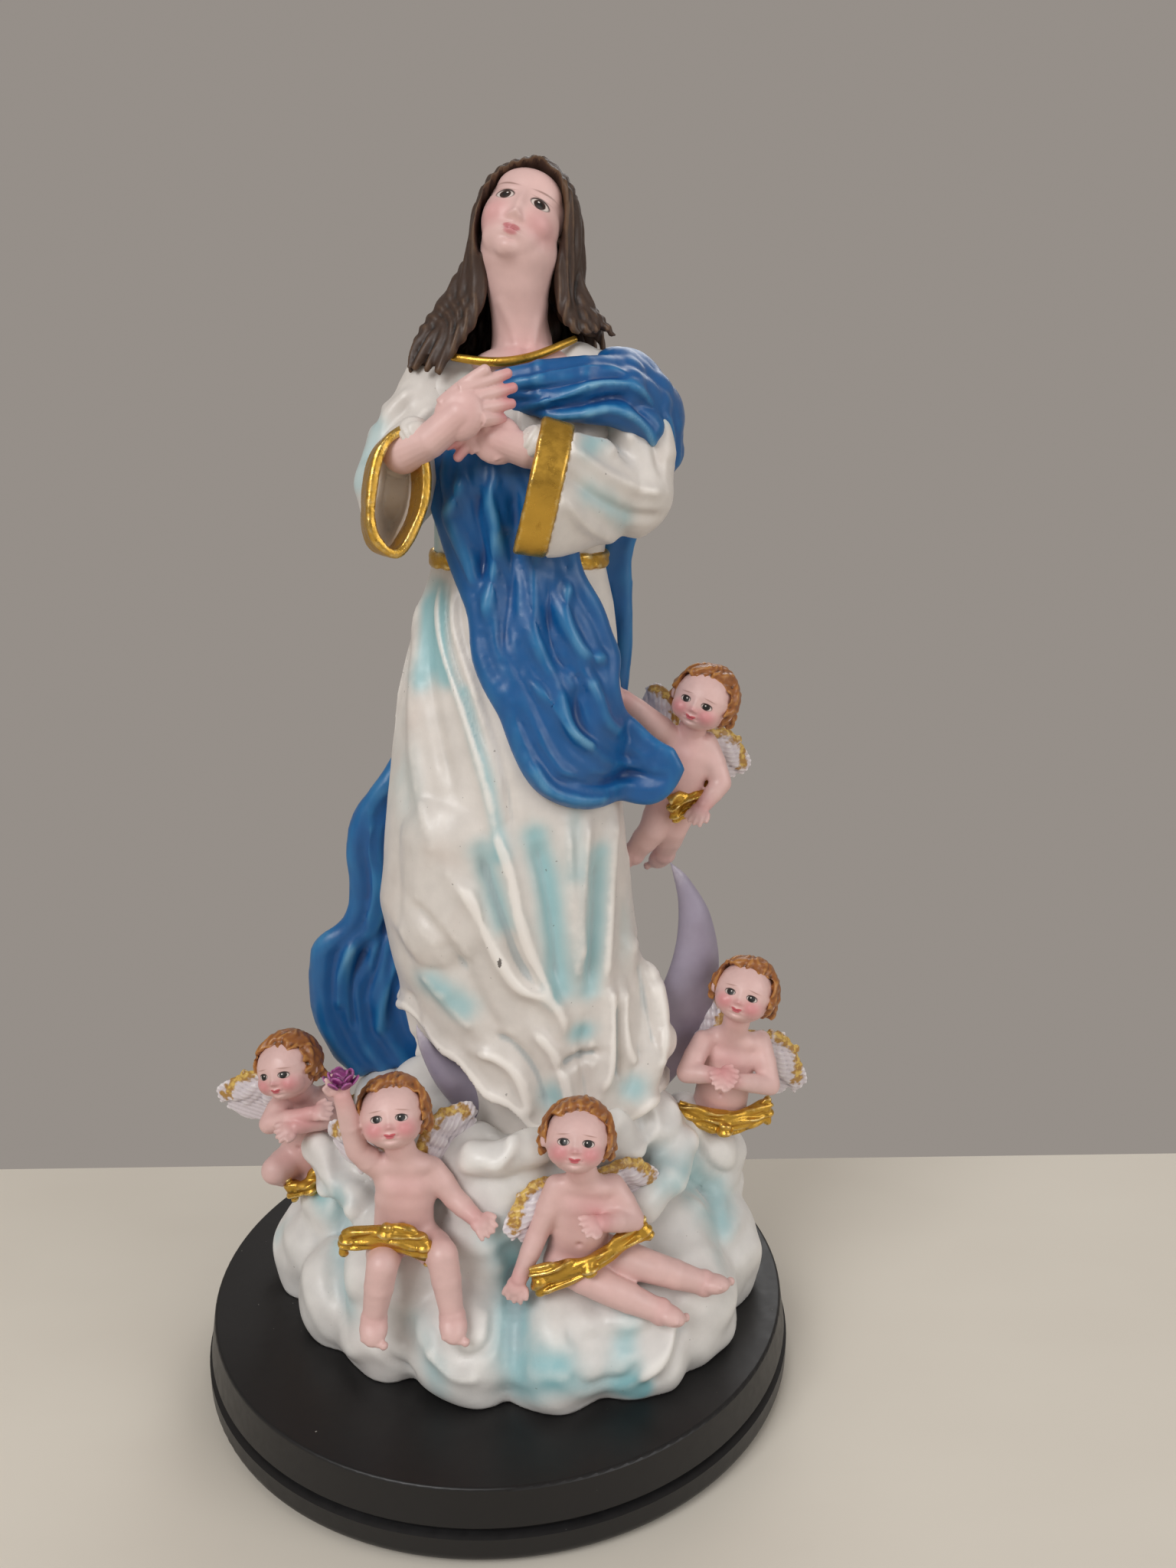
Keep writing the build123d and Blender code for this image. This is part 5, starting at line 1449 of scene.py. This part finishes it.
class CombHair(bpy.types.Operator):
    """Model the Madonna's long wavy hair, parted in the middle"""

    bl_idname = "statuette.hair"
    bl_label = "Hair"

    def execute(self, context):
        _, up, ahead = HEAD_AXES
        parts = [ball(HEAD_MIDDLE + up * 2.3 - ahead * 2.9, (10.4, 10.0, 10.4), HEAD_AXES, 32)]
        paths = []
        for guides in HAIR_GUIDES.values():
            guides = np.array(guides, float)
            for k in range(LOCKS_PER_SIDE):
                f = k / (LOCKS_PER_SIDE - 1) * (len(guides) - 1)
                i = min(int(f), len(guides) - 2)
                line = guides[i] * (1 - (f - i)) + guides[i + 1] * (f - i)
                t = np.linspace(0, 1, len(line))
                wave = np.sin(t * 12 + k * 1.7) * np.clip(t * 2.0, 0, 1)
                line = line + np.column_stack([0.75 * wave, -0.55 * wave, 0.25 * np.cos(t * 9 + k)])
                paths.append((line, 1.35 + 0.50 * np.sin(t * 3.2) - 0.8 * np.clip((t - 0.8) * 5, 0, 1)))
        parts.append(tubes(paths, sides=3, steps=5))
        parts += lifted_limbs(([(10, 6.5, 262), (10, 9, 245), (8, 11.5, 226)], [8.5, 8.4, 6.4]),
                              ([(2.2, 2, 262), (-2.6, 0, 252), (-8.5, -1, 243), (-12.5, -3, 236)],
                               [3.0, 3.8, 4.4, 3.2]),
                              ([(17, 3, 262), (18, 2, 253), (20.5, 1, 247.5), (24, -1, 244)],
                               [3.0, 3.8, 4.0, 3.0]))
        hair = fuse("madonna_hair_locks", parts, GRAINS["hair"], 2)
        points = points_of(hair)
        local = (points - HEAD_MIDDLE) @ HEAD_AXES.T
        inside = smoothstep(-((local[:, 0] / 9.3) ** 2 + ((local[:, 1] + 2.2) / 12.6) ** 2), -1.08, -0.86)
        inside *= smoothstep(local[:, 2], 0.5, 3.0)
        points = points - ahead * (inside * np.maximum(local[:, 2] + 1.0, 0))[:, None]
        fine = np.sin(points[:, 0] * 2.6 + ripple(points * (1, 1, 0.45), 12.0, 31) * 5) * 0.20
        move_points(hair, points + normals_of(hair) * fine[:, None])
        note_relief(hair, 12, scale=0.45)
        finish(hair, "dark_hair_resin", FINISHES["dark_hair"], "hair")
        return {"FINISHED"}


# ---------------------------------------------------------------- the mantle
MANTLE_LEFT_EDGE = [(-9, 236), (-11, 231), (-11, 226), (-9.5, 221), (-8, 216), (-6.5, 211), (-4, 205),
                    (-2, 199), (-1.5, 191),
                    (1, 184), (4, 179), (6, 173), (9, 166), (13, 161), (19, 158), (25, 156.5),
                    (31, 156.5), (35, 154.5),
                    (39, 155), (42.5, 158), (44, 162)]
MANTLE_RIGHT_EDGE = [(10, 238), (15, 225), (18, 214), (19, 208), (21, 204), (24, 199), (26, 193),
                     (28, 189), (27, 184), (28, 180),
                     (29.5, 176), (32, 173), (35, 171), (38, 168), (42, 166)]
MANTLE_STROKES = [
    ([(-5, 231), (-6, 226), (-8.5, 221), (-6.5, 216), (-4.5, 211), (-2.5, 204)], 1.3, 1.5),
    ([(2, 231), (1, 225), (2, 218), (1.5, 210), (0, 203), (-1.5, 197)], 1.2, 1.4),
    ([(-1.5, 228), (-2.5, 221), (-1, 213), (-2, 206)], 1.0, -1.3),
    ([(6, 230), (6, 220), (5.5, 210), (4, 200), (3, 190)], 1.3, -1.2),
    ([(10, 228), (10.5, 216), (10, 205), (10, 196), (13, 188)], 1.3, 1.1),
    ([(18, 208), (17, 200), (19, 194), (22.5, 190), (27.5, 189)], 1.2, 1.4),
    ([(14, 208), (13.5, 199), (15, 191), (19, 186)], 1.1, -1.3),
    ([(20, 185), (20, 177), (23, 171), (30, 167), (37, 164)], 1.3, -1.5),
    ([(5, 182), (8, 174), (12, 167), (17, 163), (25, 161), (33, 161), (40, 160)], 1.2, -1.5),
    ([(8, 186), (13, 181), (17, 175), (22, 171), (28, 168), (33, 166), (38, 163)], 1.3, 1.5),
    ([(2, 185), (5, 181), (7.5, 174), (11, 168), (14, 165), (20, 162)], 1.2, 1.1),
    ([(15, 184), (17, 178), (19, 173), (24, 169)], 1.0, 0.9),
    ([(22, 186), (25, 180), (27, 175), (31, 171)], 1.2, 1.0),
    ([(8, 168), (13, 161), (20, 158), (28, 157)], 1.2, 1.2),
]
SHOULDER_STROKES = [
    ([(4, 249), (10, 249.5), (16, 251), (26, 252), (34, 249)], 1.0, 1.1),
    ([(8, 244), (16, 246), (25, 249), (33, 248), (38, 243)], 1.0, 1.1),
    ([(6, 247), (14, 248), (24, 250), (33, 250.5)], 0.8, -1.0),
    ([(12, 242), (20, 242.5), (28, 243.5), (35, 240), (39, 233)], 1.0, 1.1),
    ([(10, 243), (20, 244.5), (30, 246), (37, 240)], 0.8, -1.0),
    ([(40, 244), (42, 238), (42, 230)], 1.0, 0.9),
]
BACK_LEFT_EDGE = [(-13, 253), (-11, 241), (-8, 225), (-9, 211), (-13, 192), (-17, 175), (-22, 161),
                  (-30, 150), (-34.5, 141), (-34, 131),
                  (-34.5, 123), (-36, 116.5), (-42, 113.5), (-45, 111), (-44.8, 102), (-45.2, 93),
                  (-42, 84), (-37, 77)]
BACK_RIGHT_EDGE = [(37, 250), (41, 238), (38, 225), (33, 213), (33, 200), (33, 188), (31, 170), (29, 145),
                   (28, 125), (28, 108),
                   (28, 92), (26, 84)]


SHOULDER_CHAINS = [
    # the mantle over the shoulder: lines from the plinth's top, and radii
    ([(3, -13.2, 231.3), (12, -15.2, 232.6), (22, -14.0, 232.6), (31, -8, 231.6), (36, -2, 228.6),
      (38, 0, 220)], [1.7, 2.6, 3.6, 5.2, 5.6, 4.4]),
    ([(3, -14.2, 228.5), (12, -16.6, 229), (22, -16.6, 229), (31, -12.5, 229), (37.5, -7, 226),
      (39.5, -5, 216)], [1.8, 2.8, 3.8, 5.0, 4.8, 3.6]),
    ([(7, -14.0, 225.5), (14, -16.8, 225), (22, -17.2, 224.5), (30, -15.0, 224.5), (36.5, -12, 221)],
     [1.6, 2.4, 3.0, 3.6, 3.4]),
    ([(14, 4, 230), (22, 6, 231), (31, 6, 230), (37, 7, 225), (38, 8, 214)], [4.5, 6.2, 6.8, 6.0, 4.5]),
    ([(14, -8, 230), (22, -6, 230.5), (31, -1, 231), (36, 2, 227)], [2.5, 5.0, 6.2, 5.8]),
    ([(22, 0, 230), (31, 0.5, 228), (36, 1, 223.5), (38.5, 4, 216), (38.5, 6, 208)],
     [8.4, 11.3, 10.3, 7.8, 5.6]),
    ([(30, -4, 231.5), (36.5, -3, 227.5), (40.5, -2, 222), (42, 0, 215)], [7.4, 7.0, 5.2, 3.8]),
]


def gap_beside(lines, k):
    """How far a fold's line lies from the next one, at each of its points."""
    other = lines[k + 1] if k + 1 < len(lines) else lines[k - 1]
    return np.linalg.norm(lines[k] - other, axis=1)


class DrapeMantle(bpy.types.Operator):
    """Model the blue mantle: over the shoulder, across the front and down the back"""

    bl_idname = "statuette.mantle"
    bl_label = "Mantle"

    def execute(self, context):
        grain = context.scene.statuette_sizes.cloth_grain
        lines = between(MANTLE_LEFT_EDGE, MANTLE_RIGHT_EDGE, 8, 26)
        paths = []
        for k, line in enumerate(lines):
            radius = np.clip(gap_beside(lines, k) * 0.78, 1.7, 2.9)
            points = []
            for x, z in line:
                point = on_figure(x, z, 1.0 + 0.5 * (k % 2))
                waist = 1.5 * smoothstep(-np.array(z), -200, -180) * smoothstep(np.array(x), 10, 30)
                point[1] -= 3.2 * smoothstep(np.array(x), 30, 43) + waist
                points.append(point)
            paths.append((points, radius))
        parts = [tubes(paths, sides=4)]
        parts += [ball(points[-1], radius[-1] * 1.05, segments=16) for points, radius in paths]
        front = fuse("mantle_front_folds", parts, grain, 14)
        strokes(front, [(line, width * 1.25, height) for line, width, height in MANTLE_STROKES])
        swell(front, 0.08 * ripple(points_of(front), 9.0, 15))
        note_relief(front, 14, scale=0.7)
        finish(front, "mantle_resin", FINISHES["mantle"], "mantle_front")

        parts = []
        for chain in SHOULDER_CHAINS:
            parts += lifted_limbs(chain)
        shoulder = fuse("mantle_shoulder_folds", parts, grain, 6)
        strokes(shoulder, SHOULDER_STROKES)
        points = points_of(shoulder)
        rear = smoothstep(points[:, 1], -2, 5)
        folds = np.sin(points[:, 0] * 0.9 + points[:, 2] * 0.15 + ripple(points, 18.0, 3)) * 0.7 * rear
        swell(shoulder, folds + 0.06 * ripple(points, 9.0, 16))
        note_relief(shoulder, 14, scale=0.7)
        finish(shoulder, "mantle_resin", FINISHES["mantle"], "mantle_shoulder")

        lines = between(BACK_LEFT_EDGE, BACK_RIGHT_EDGE, 21, 26)
        paths = []
        for k, line in enumerate(lines):
            radius = np.clip(gap_beside(lines, k) * (0.72 if k % 2 else 0.95), 2.0, 4.2)
            points = [on_figure(x, z, 1.0 + 1.1 * (k % 2), back=True, limit=0.95) for x, z in line]
            points = [p - (0, 0.9 * smoothstep(np.array(-abs(k - 10)), -11, -9.5), 0) for p in points]
            paths.append((points, radius))
        parts = [tubes(paths, sides=4)]
        for end in (-1, 0):
            parts += [ball(points[end], radius[end], segments=16) for points, radius in paths]
        back = fuse("mantle_back_folds", parts, grain * 1.35, 8)
        strokes(back, [([(-30, 148), (-31, 138), (-30, 128), (-33, 116)], 1.3, 1.2),
                       ([(-26, 150), (-27, 138), (-26, 126), (-29, 112), (-34, 98)], 1.3, -1.3),
                       ([(-36, 114), (-40, 104), (-41, 94)], 1.4, 1.2),
                       ([(-33, 112), (-37, 101), (-37, 88)], 1.2, -1.2),
                       ([(-24, 112), (-29, 98), (-31, 86)], 1.5, 1.1)], facing=0.4)
        points = points_of(back)
        rear = smoothstep(points[:, 1], 6, 12)
        wave = np.sin(points[:, 2] * 0.085 + points[:, 0] * 0.12 + ripple(points, 60.0, 5)) * 0.9
        wave += np.sin(points[:, 0] * 0.85 + ripple(points * (1, 1, 0.3), 30.0, 7) * 2.0) * 0.75
        swell(back, wave * rear + 0.08 * ripple(points, 9.0, 18))
        note_relief(back, 16, scale=0.8)
        finish(back, "mantle_resin", FINISHES["mantle"], "mantle_back")
        return {"FINISHED"}


# ---------------------------------------------------------------- the cloud, the moon and the rose
# Puffs of cloud: centre from the plinth's top, and radius.
PUFFS = [
    (-45, 3, 8, 16), (-37, -17, 8, 15), (-26, -28, 8, 15.5), (-7, -37, 9, 17), (13, -41, 8, 16.5),
    (30, -37, 8, 17.5), (41, -28, 9, 18.5), (51, -8, 9, 18.5), (49, 14, 11, 18), (30, 30, 9, 18.5),
    (6, 38, 9, 18.5), (-18, 33, 10, 18), (-37, 20, 9, 16.5), (-38, 2, 21, 15), (-22, -24, 21, 17),
    (20, -27, 17, 18), (40, -18, 21, 15), (54, 2, 27, 13), (57, 1, 35, 10), (0, -27, 41, 14),
    (12, 6, 23, 34), (-6, -27, 50, 9), (6, -29, 46, 10.5), (27, -24, 52, 8.5), (37, -14, 50, 10),
    (-4, -30, 32, 11.5), (16, -26, 50, 9), (51, -6.0, 39, 8.5), (54, -4.0, 37, 9.0), (-14, -17, 50, 10),
    (-20, -5, 54, 11), (-30, -6, 40, 12), (46, -4, 40, 12), (30, 18, 44, 15), (0, 24, 44, 15),
    (-18, 16, 42, 14), (-29, 5, 47, 11),
]
SCROLLS = [
    # rolled edges of cloud: their line from the plinth's top, and radii
    ([(-6, -35, 56), (0, -36.5, 56.5), (6, -36, 57), (13, -33, 57)], [4.3, 4.4, 4.2, 3.8]),
    ([(-15, -27, 50), (-10, -31, 46), (-4, -33, 43)], [4.0, 4.4, 4.0]),
    ([(-46, -6, 42), (-42, -14, 38), (-36, -20, 36)], [4.5, 5.0, 4.5]),
    ([(34, -32, 38), (41, -26, 42), (46, -18, 46)], [4.5, 5.0, 4.6]),
]
SWIRLS = [
    # line of x and z seen from the front, width, height
    ([(-12, 79), (-6, 84), (0, 84), (3, 80), (0, 76), (-5, 76)], 1.6, 1.3),
    ([(24, 74), (30, 80), (36, 79), (39, 74), (35, 70), (30, 71)], 1.6, 1.2),
    ([(-56, 62), (-50, 66), (-44, 63), (-42, 57), (-46, 53)], 1.8, 1.2),
    ([(-52, 55), (-46, 58), (-42, 52)], 1.6, -1.4),
    ([(-42, 60), (-40, 48), (-42, 38), (-38, 30)], 2.2, -1.6),
    ([(-38, 58), (-35, 46), (-36, 36)], 2.0, 1.2),
    ([(-16, 40), (-10, 34), (-3, 36), (-2, 42), (-8, 44)], 1.6, -1.3),
    ([(-18, 34), (-12, 29), (-5, 29)], 1.8, 1.1), ([(12, 40), (22, 36), (32, 36), (38, 40)], 2.2, -1.5),
    ([(14, 32), (20, 27), (28, 27), (32, 31)], 1.8, -1.2),
    ([(30, 26), (36, 30), (40, 36), (38, 42)], 2.0, 1.4), ([(34, 24), (39, 28), (44, 35)], 1.6, -1.3),
    ([(46, 60), (50, 52), (56, 46), (60, 42)], 2.0, 1.3), ([(50, 64), (55, 55), (61, 50)], 1.6, -1.3),
    ([(-30, 34), (-26, 27), (-20, 24)], 1.8, -1.2), ([(0, 56), (3, 46), (2, 36), (4, 26)], 2.4, -1.4),
    ([(40, 84), (44, 78), (46, 70)], 1.6, 1.2), ([(-22, 56), (-26, 48), (-25, 40)], 1.8, -1.1),
]
# No cloud lies farther than this from the plinth's middle, in millimetres.
CLOUD_REACH = 73.5
# The crescent moon: its middle from the plinth's top, how far it is turned and where it opens, half the turn
# of its horns, the radii of its two circles and how far apart they lie; in degrees and millimetres.
MOON_MIDDLE = (19.5, -7.5, 84.5)
MOON_YAW, MOON_OPENING, MOON_HALF_TURN = 17.0, 117.0, 120.0
MOON_OUTER, MOON_INNER, MOON_SHIFT = 41.0, 37.0, 17.0
# Nodes that keep their carved shape, and their finish.
TURNED_AND_BOUGHT = {"plinth": "lacquer", "felt_pad": "felt", "right_screw": "screw",
                     "left_screw": "screw"}
# The rose's rings of petals: how many, how far out, how high, and their size.
PETALS = [(3, 1.2, 1.0, 1.35), (5, 2.15, 0.4, 1.6), (6, 3.0, -0.5, 1.75)]


class PileCloud(bpy.types.Operator):
    """Model the cloud, the crescent moon and the rose, and lacquer the plinth"""

    bl_idname = "statuette.cloud"
    bl_label = "Cloud, moon and plinth"

    def execute(self, context):
        parts = [ball(lifted(puff[:3]), puff[3], segments=36) for puff in PUFFS]
        parts += lifted_limbs(*SCROLLS)
        cloud = fuse("cloud_puffs", parts, context.scene.statuette_sizes.cloud_grain, 16)
        strokes(cloud, SWIRLS, facing=0.3)
        points = points_of(cloud)
        middle = points - (5, -5, 0)
        turn = np.arctan2(middle[:, 1], middle[:, 0])
        curl = np.sin(turn * 9 + points[:, 2] * 0.22 + ripple(points, 46.0, 41) * 2.4)
        rear = smoothstep(points[:, 1], -18, 4)
        banks = np.sin(points[:, 2] * 0.5 + turn * 5 + ripple(points, 30.0, 44) * 2)
        lift = curl * rear + 0.5 * ripple(points, 15.0, 42) + 0.4 * banks
        points = points + normals_of(cloud) * lift[:, None]
        radius = np.hypot(points[:, 0], points[:, 1])
        shrink = np.minimum(1, CLOUD_REACH / np.maximum(radius, 1e-6))
        points[:, :2] *= shrink[:, None]
        points[:, 2] = np.maximum(points[:, 2], PLINTH_TOP + 0.02)
        move_points(cloud, points)
        note_relief(cloud, 26, scale=1.2)
        wash = wash_along(cloud, [
            ([(0, 56), (3, 46), (2, 36), (4, 26)], 4.0, 0.9),
            ([(-18, 36), (-16, 28), (-15, 23)], 3.0, 0.6),
            ([(30, 40), (28, 32), (30, 24)], 3.0, 0.7), ([(-40, 56), (-41, 46), (-38, 36)], 3.0, 0.7),
            ([(46, 62), (50, 54), (56, 48)], 3.6, 0.8), ([(12, 30), (20, 26), (27, 24)], 2.6, 0.7),
        ], [(-47, 50, 4, 5, 1.0), (32, 22, 3, 4, 1.0), (-28, 66, 5, 4, 0.9), (12, 34, 6, 6, 0.7),
            (38, 66, 6, 6, 0.6), (58, 42, 5, 4, 0.6)])
        points = points_of(cloud)
        patches = smoothstep(ripple(points, 36.0, 45), 0.35, 1.0)
        note(cloud, "wash", wash * 0.85 + smoothstep(points[:, 1], -6, 8) * patches * 0.9)
        finish(cloud, "cloud_resin", FINISHES["cloud"], "cloud_base")

        centre = lifted(MOON_MIDDLE)
        yaw, opening = math.radians(MOON_YAW), math.radians(MOON_OPENING)
        across = np.array([math.cos(yaw), math.sin(yaw), 0.0])
        up, deep = np.array([0.0, 0.0, 1.0]), np.array([-math.sin(yaw), math.cos(yaw), 0.0])
        shift = MOON_SHIFT * (across * math.cos(opening) + up * math.sin(opening))
        rings = []
        for step in np.linspace(-1, 1, 90):
            turn = opening + math.pi + step * math.radians(MOON_HALF_TURN)
            way = across * math.cos(turn) + up * math.sin(turn)
            inside = (way @ shift) ** 2 - shift @ shift + MOON_INNER ** 2
            inner = way @ shift + math.sqrt(max(inside, 0))
            width = max(MOON_OUTER - inner, 0.0) * math.sqrt(min((1 - abs(step)) / 0.11, 1))
            middle = centre + way * (MOON_OUTER + inner) / 2
            rings.append((middle, way, deep, max(width / 2, 0.05), max(min(width * 0.42, 3.6), 0.05)))
        rings[0] = (*rings[0][:3], 0.0, 0.0)
        rings[-1] = (*rings[-1][:3], 0.0, 0.0)
        moon = fuse("moon_horns", [loft_rings("moon_form", rings, 32)], GRAINS["moon"], 2)
        swell(moon, 0.12 * ripple(points_of(moon), 12.0, 51))
        note_relief(moon, 10, scale=0.3)
        finish(moon, "crescent_resin", FINISHES["moon"], "crescent_moon")

        low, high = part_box("rose")
        middle = np.array((low + high) / 2) / MM
        parts = [ball(middle, (2.3, 2.3, 2.2))]
        for ring, (count, spread, lift, size) in enumerate(PETALS):
            for i in range(count):
                turn = 2 * math.pi * (i + 0.5 * ring) / count
                way = np.array([math.cos(turn), math.sin(turn), 0])
                lean = unit(way * (0.25 + 0.3 * ring) + np.array([0, 0, 1]))
                side = np.cross(way, lean)
                parts.append(ball(middle + way * spread + np.array([0, 0, lift]), (0.5, size, size),
                                  [np.cross(side, lean), side, lean], 16))
        rose = fuse("rose_petals", parts, GRAINS["rose"], 1)
        note_relief(rose, 8, scale=0.25)
        finish(rose, "rose_resin", FINISHES["rose"], "rose")

        for node, material in TURNED_AND_BOUGHT.items():
            piece = frame["nodes"][node]
            piece.data.materials.clear()
            piece.data.materials.append(FINISHES[material])
        return {"FINISHED"}


# ---------------------------------------------------------------- floor, light and camera
# The floor: its middle and its sides in metres, and its turn in degrees.
FLOOR_PLACE, FLOOR_SIDES, FLOOR_TURN = (-0.033, -0.515, 0), (2.4, 1.2, 1), -3.2
# The camera: its place in metres, how far it looks down and turns in degrees, its lens and film in
# millimetres.
CAMERA_PLACE = (0.0, -0.2937, 0.2306)
CAMERA_DOWN, CAMERA_TURN = 14.31, 4.62
CAMERA_LENS, CAMERA_FILM = 28.125, 36.0
# The lamps are soft squares, turned to one point of the figure; places and sizes in metres, power in watts.
LAMPS_AIM = (0, 0, 0.13)
LAMPS = [
    # name, place, size and power
    ("key_lamp", (-0.55, -0.75, 0.85), 0.6, 7.2),
    ("fill_lamp", (0.75, -0.55, 0.55), 0.7, 3.0),
    ("back_lamp", (0.25, 0.80, 0.80), 0.6, 2.4),
]


class SetStage(bpy.types.Operator):
    """Lay a pale floor, hang soft lamps and stand the camera in front"""

    bl_idname = "statuette.stage"
    bl_label = "Stage"

    def execute(self, context):
        bpy.ops.mesh.primitive_plane_add(size=1.0, location=FLOOR_PLACE,
                                         rotation=(0, 0, math.radians(FLOOR_TURN)))
        floor = context.object
        floor.scale = FLOOR_SIDES
        floor.name = "pale_floor"
        # A matt warm-white board with a faint mottle: it takes soft shadows and shows no shine.
        pale = bpy.data.materials.new("Matt pale board")
        pale.use_nodes = True
        shader = pale.node_tree.nodes["Principled BSDF"]
        shader.inputs["Roughness"].default_value = 0.75
        place = add_node(pale.node_tree, "TexCoord").outputs["Object"]
        mottle = add_node(pale.node_tree, "TexNoise", {"Vector": place, "Scale": 30.0, "Detail": 3.0})
        tones = {0: mottle.outputs[0], 6: linear("#d6cfc3"), 7: linear("#ded8cc")}
        tone = add_node(pale.node_tree, "Mix", tones, data_type="RGBA")
        pale.node_tree.links.new(tone.outputs[2], shader.inputs["Base Color"])
        floor.data.materials.append(pale)

        for name, place, size, power in LAMPS:
            lamp = bpy.data.lights.new(name, "AREA")
            lamp.size, lamp.energy = size, power
            holder = bpy.data.objects.new(name, lamp)
            context.scene.collection.objects.link(holder)
            holder.location = place
            aim = Vector(LAMPS_AIM) - Vector(place)
            holder.rotation_euler = aim.to_track_quat("-Z", "Y").to_euler()
        world = bpy.data.worlds.new("soft_studio")
        world.use_nodes = True
        world.node_tree.nodes["Background"].inputs[0].default_value = linear("#c9c0b8")
        world.node_tree.nodes["Background"].inputs[1].default_value = 0.52
        context.scene.world = world

        lens = bpy.data.cameras.new("front_camera")
        lens.lens, lens.sensor_width, lens.sensor_fit = CAMERA_LENS, CAMERA_FILM, "AUTO"
        camera = bpy.data.objects.new("front_camera", lens)
        context.scene.collection.objects.link(camera)
        camera.location = CAMERA_PLACE
        pitch, turn = math.radians(CAMERA_DOWN), math.radians(CAMERA_TURN)
        ahead = Vector((math.sin(turn) * math.cos(pitch), math.cos(turn) * math.cos(pitch),
                        -math.sin(pitch)))
        camera.rotation_euler = ahead.to_track_quat("-Z", "Y").to_euler()
        context.scene.camera = camera
        context.scene.view_settings.view_transform = "Standard"
        return {"FINISHED"}


class StatuettePanel(bpy.types.Panel):
    """The statuette's pieces, sizes and paints"""

    bl_idname = "STATUETTE_PT_pieces"
    bl_label = "Madonna statuette"
    bl_space_type = "VIEW_3D"
    bl_region_type = "UI"
    bl_category = "Statuette"

    def draw(self, context):
        for group in (context.scene.statuette_sizes, context.scene.statuette_colours):
            for key in group.__annotations__:
                self.layout.prop(group, key)
        for step in STEPS:
            self.layout.operator(step.bl_idname)


STEPS = (CarveCherubs, DressRobe, HangSleeves, ModelHead, CombHair, DrapeMantle, PileCloud, SetStage)
CLASSES = (StatuetteColours, StatuetteSizes, *STEPS, StatuettePanel)


def register():
    for part in CLASSES:
        bpy.utils.register_class(part)
    bpy.types.Scene.statuette_colours = bpy.props.PointerProperty(type=StatuetteColours)
    bpy.types.Scene.statuette_sizes = bpy.props.PointerProperty(type=StatuetteSizes)


def unregister():
    del bpy.types.Scene.statuette_sizes
    del bpy.types.Scene.statuette_colours
    for part in reversed(CLASSES):
        bpy.utils.unregister_class(part)


def main():
    register()
    FINISHES.update(make_finishes(bpy.context.scene.statuette_colours))
    for step in STEPS:
        group, action = step.bl_idname.split(".")
        getattr(getattr(bpy.ops, group), action)()


if __name__ == "__main__":
    main()
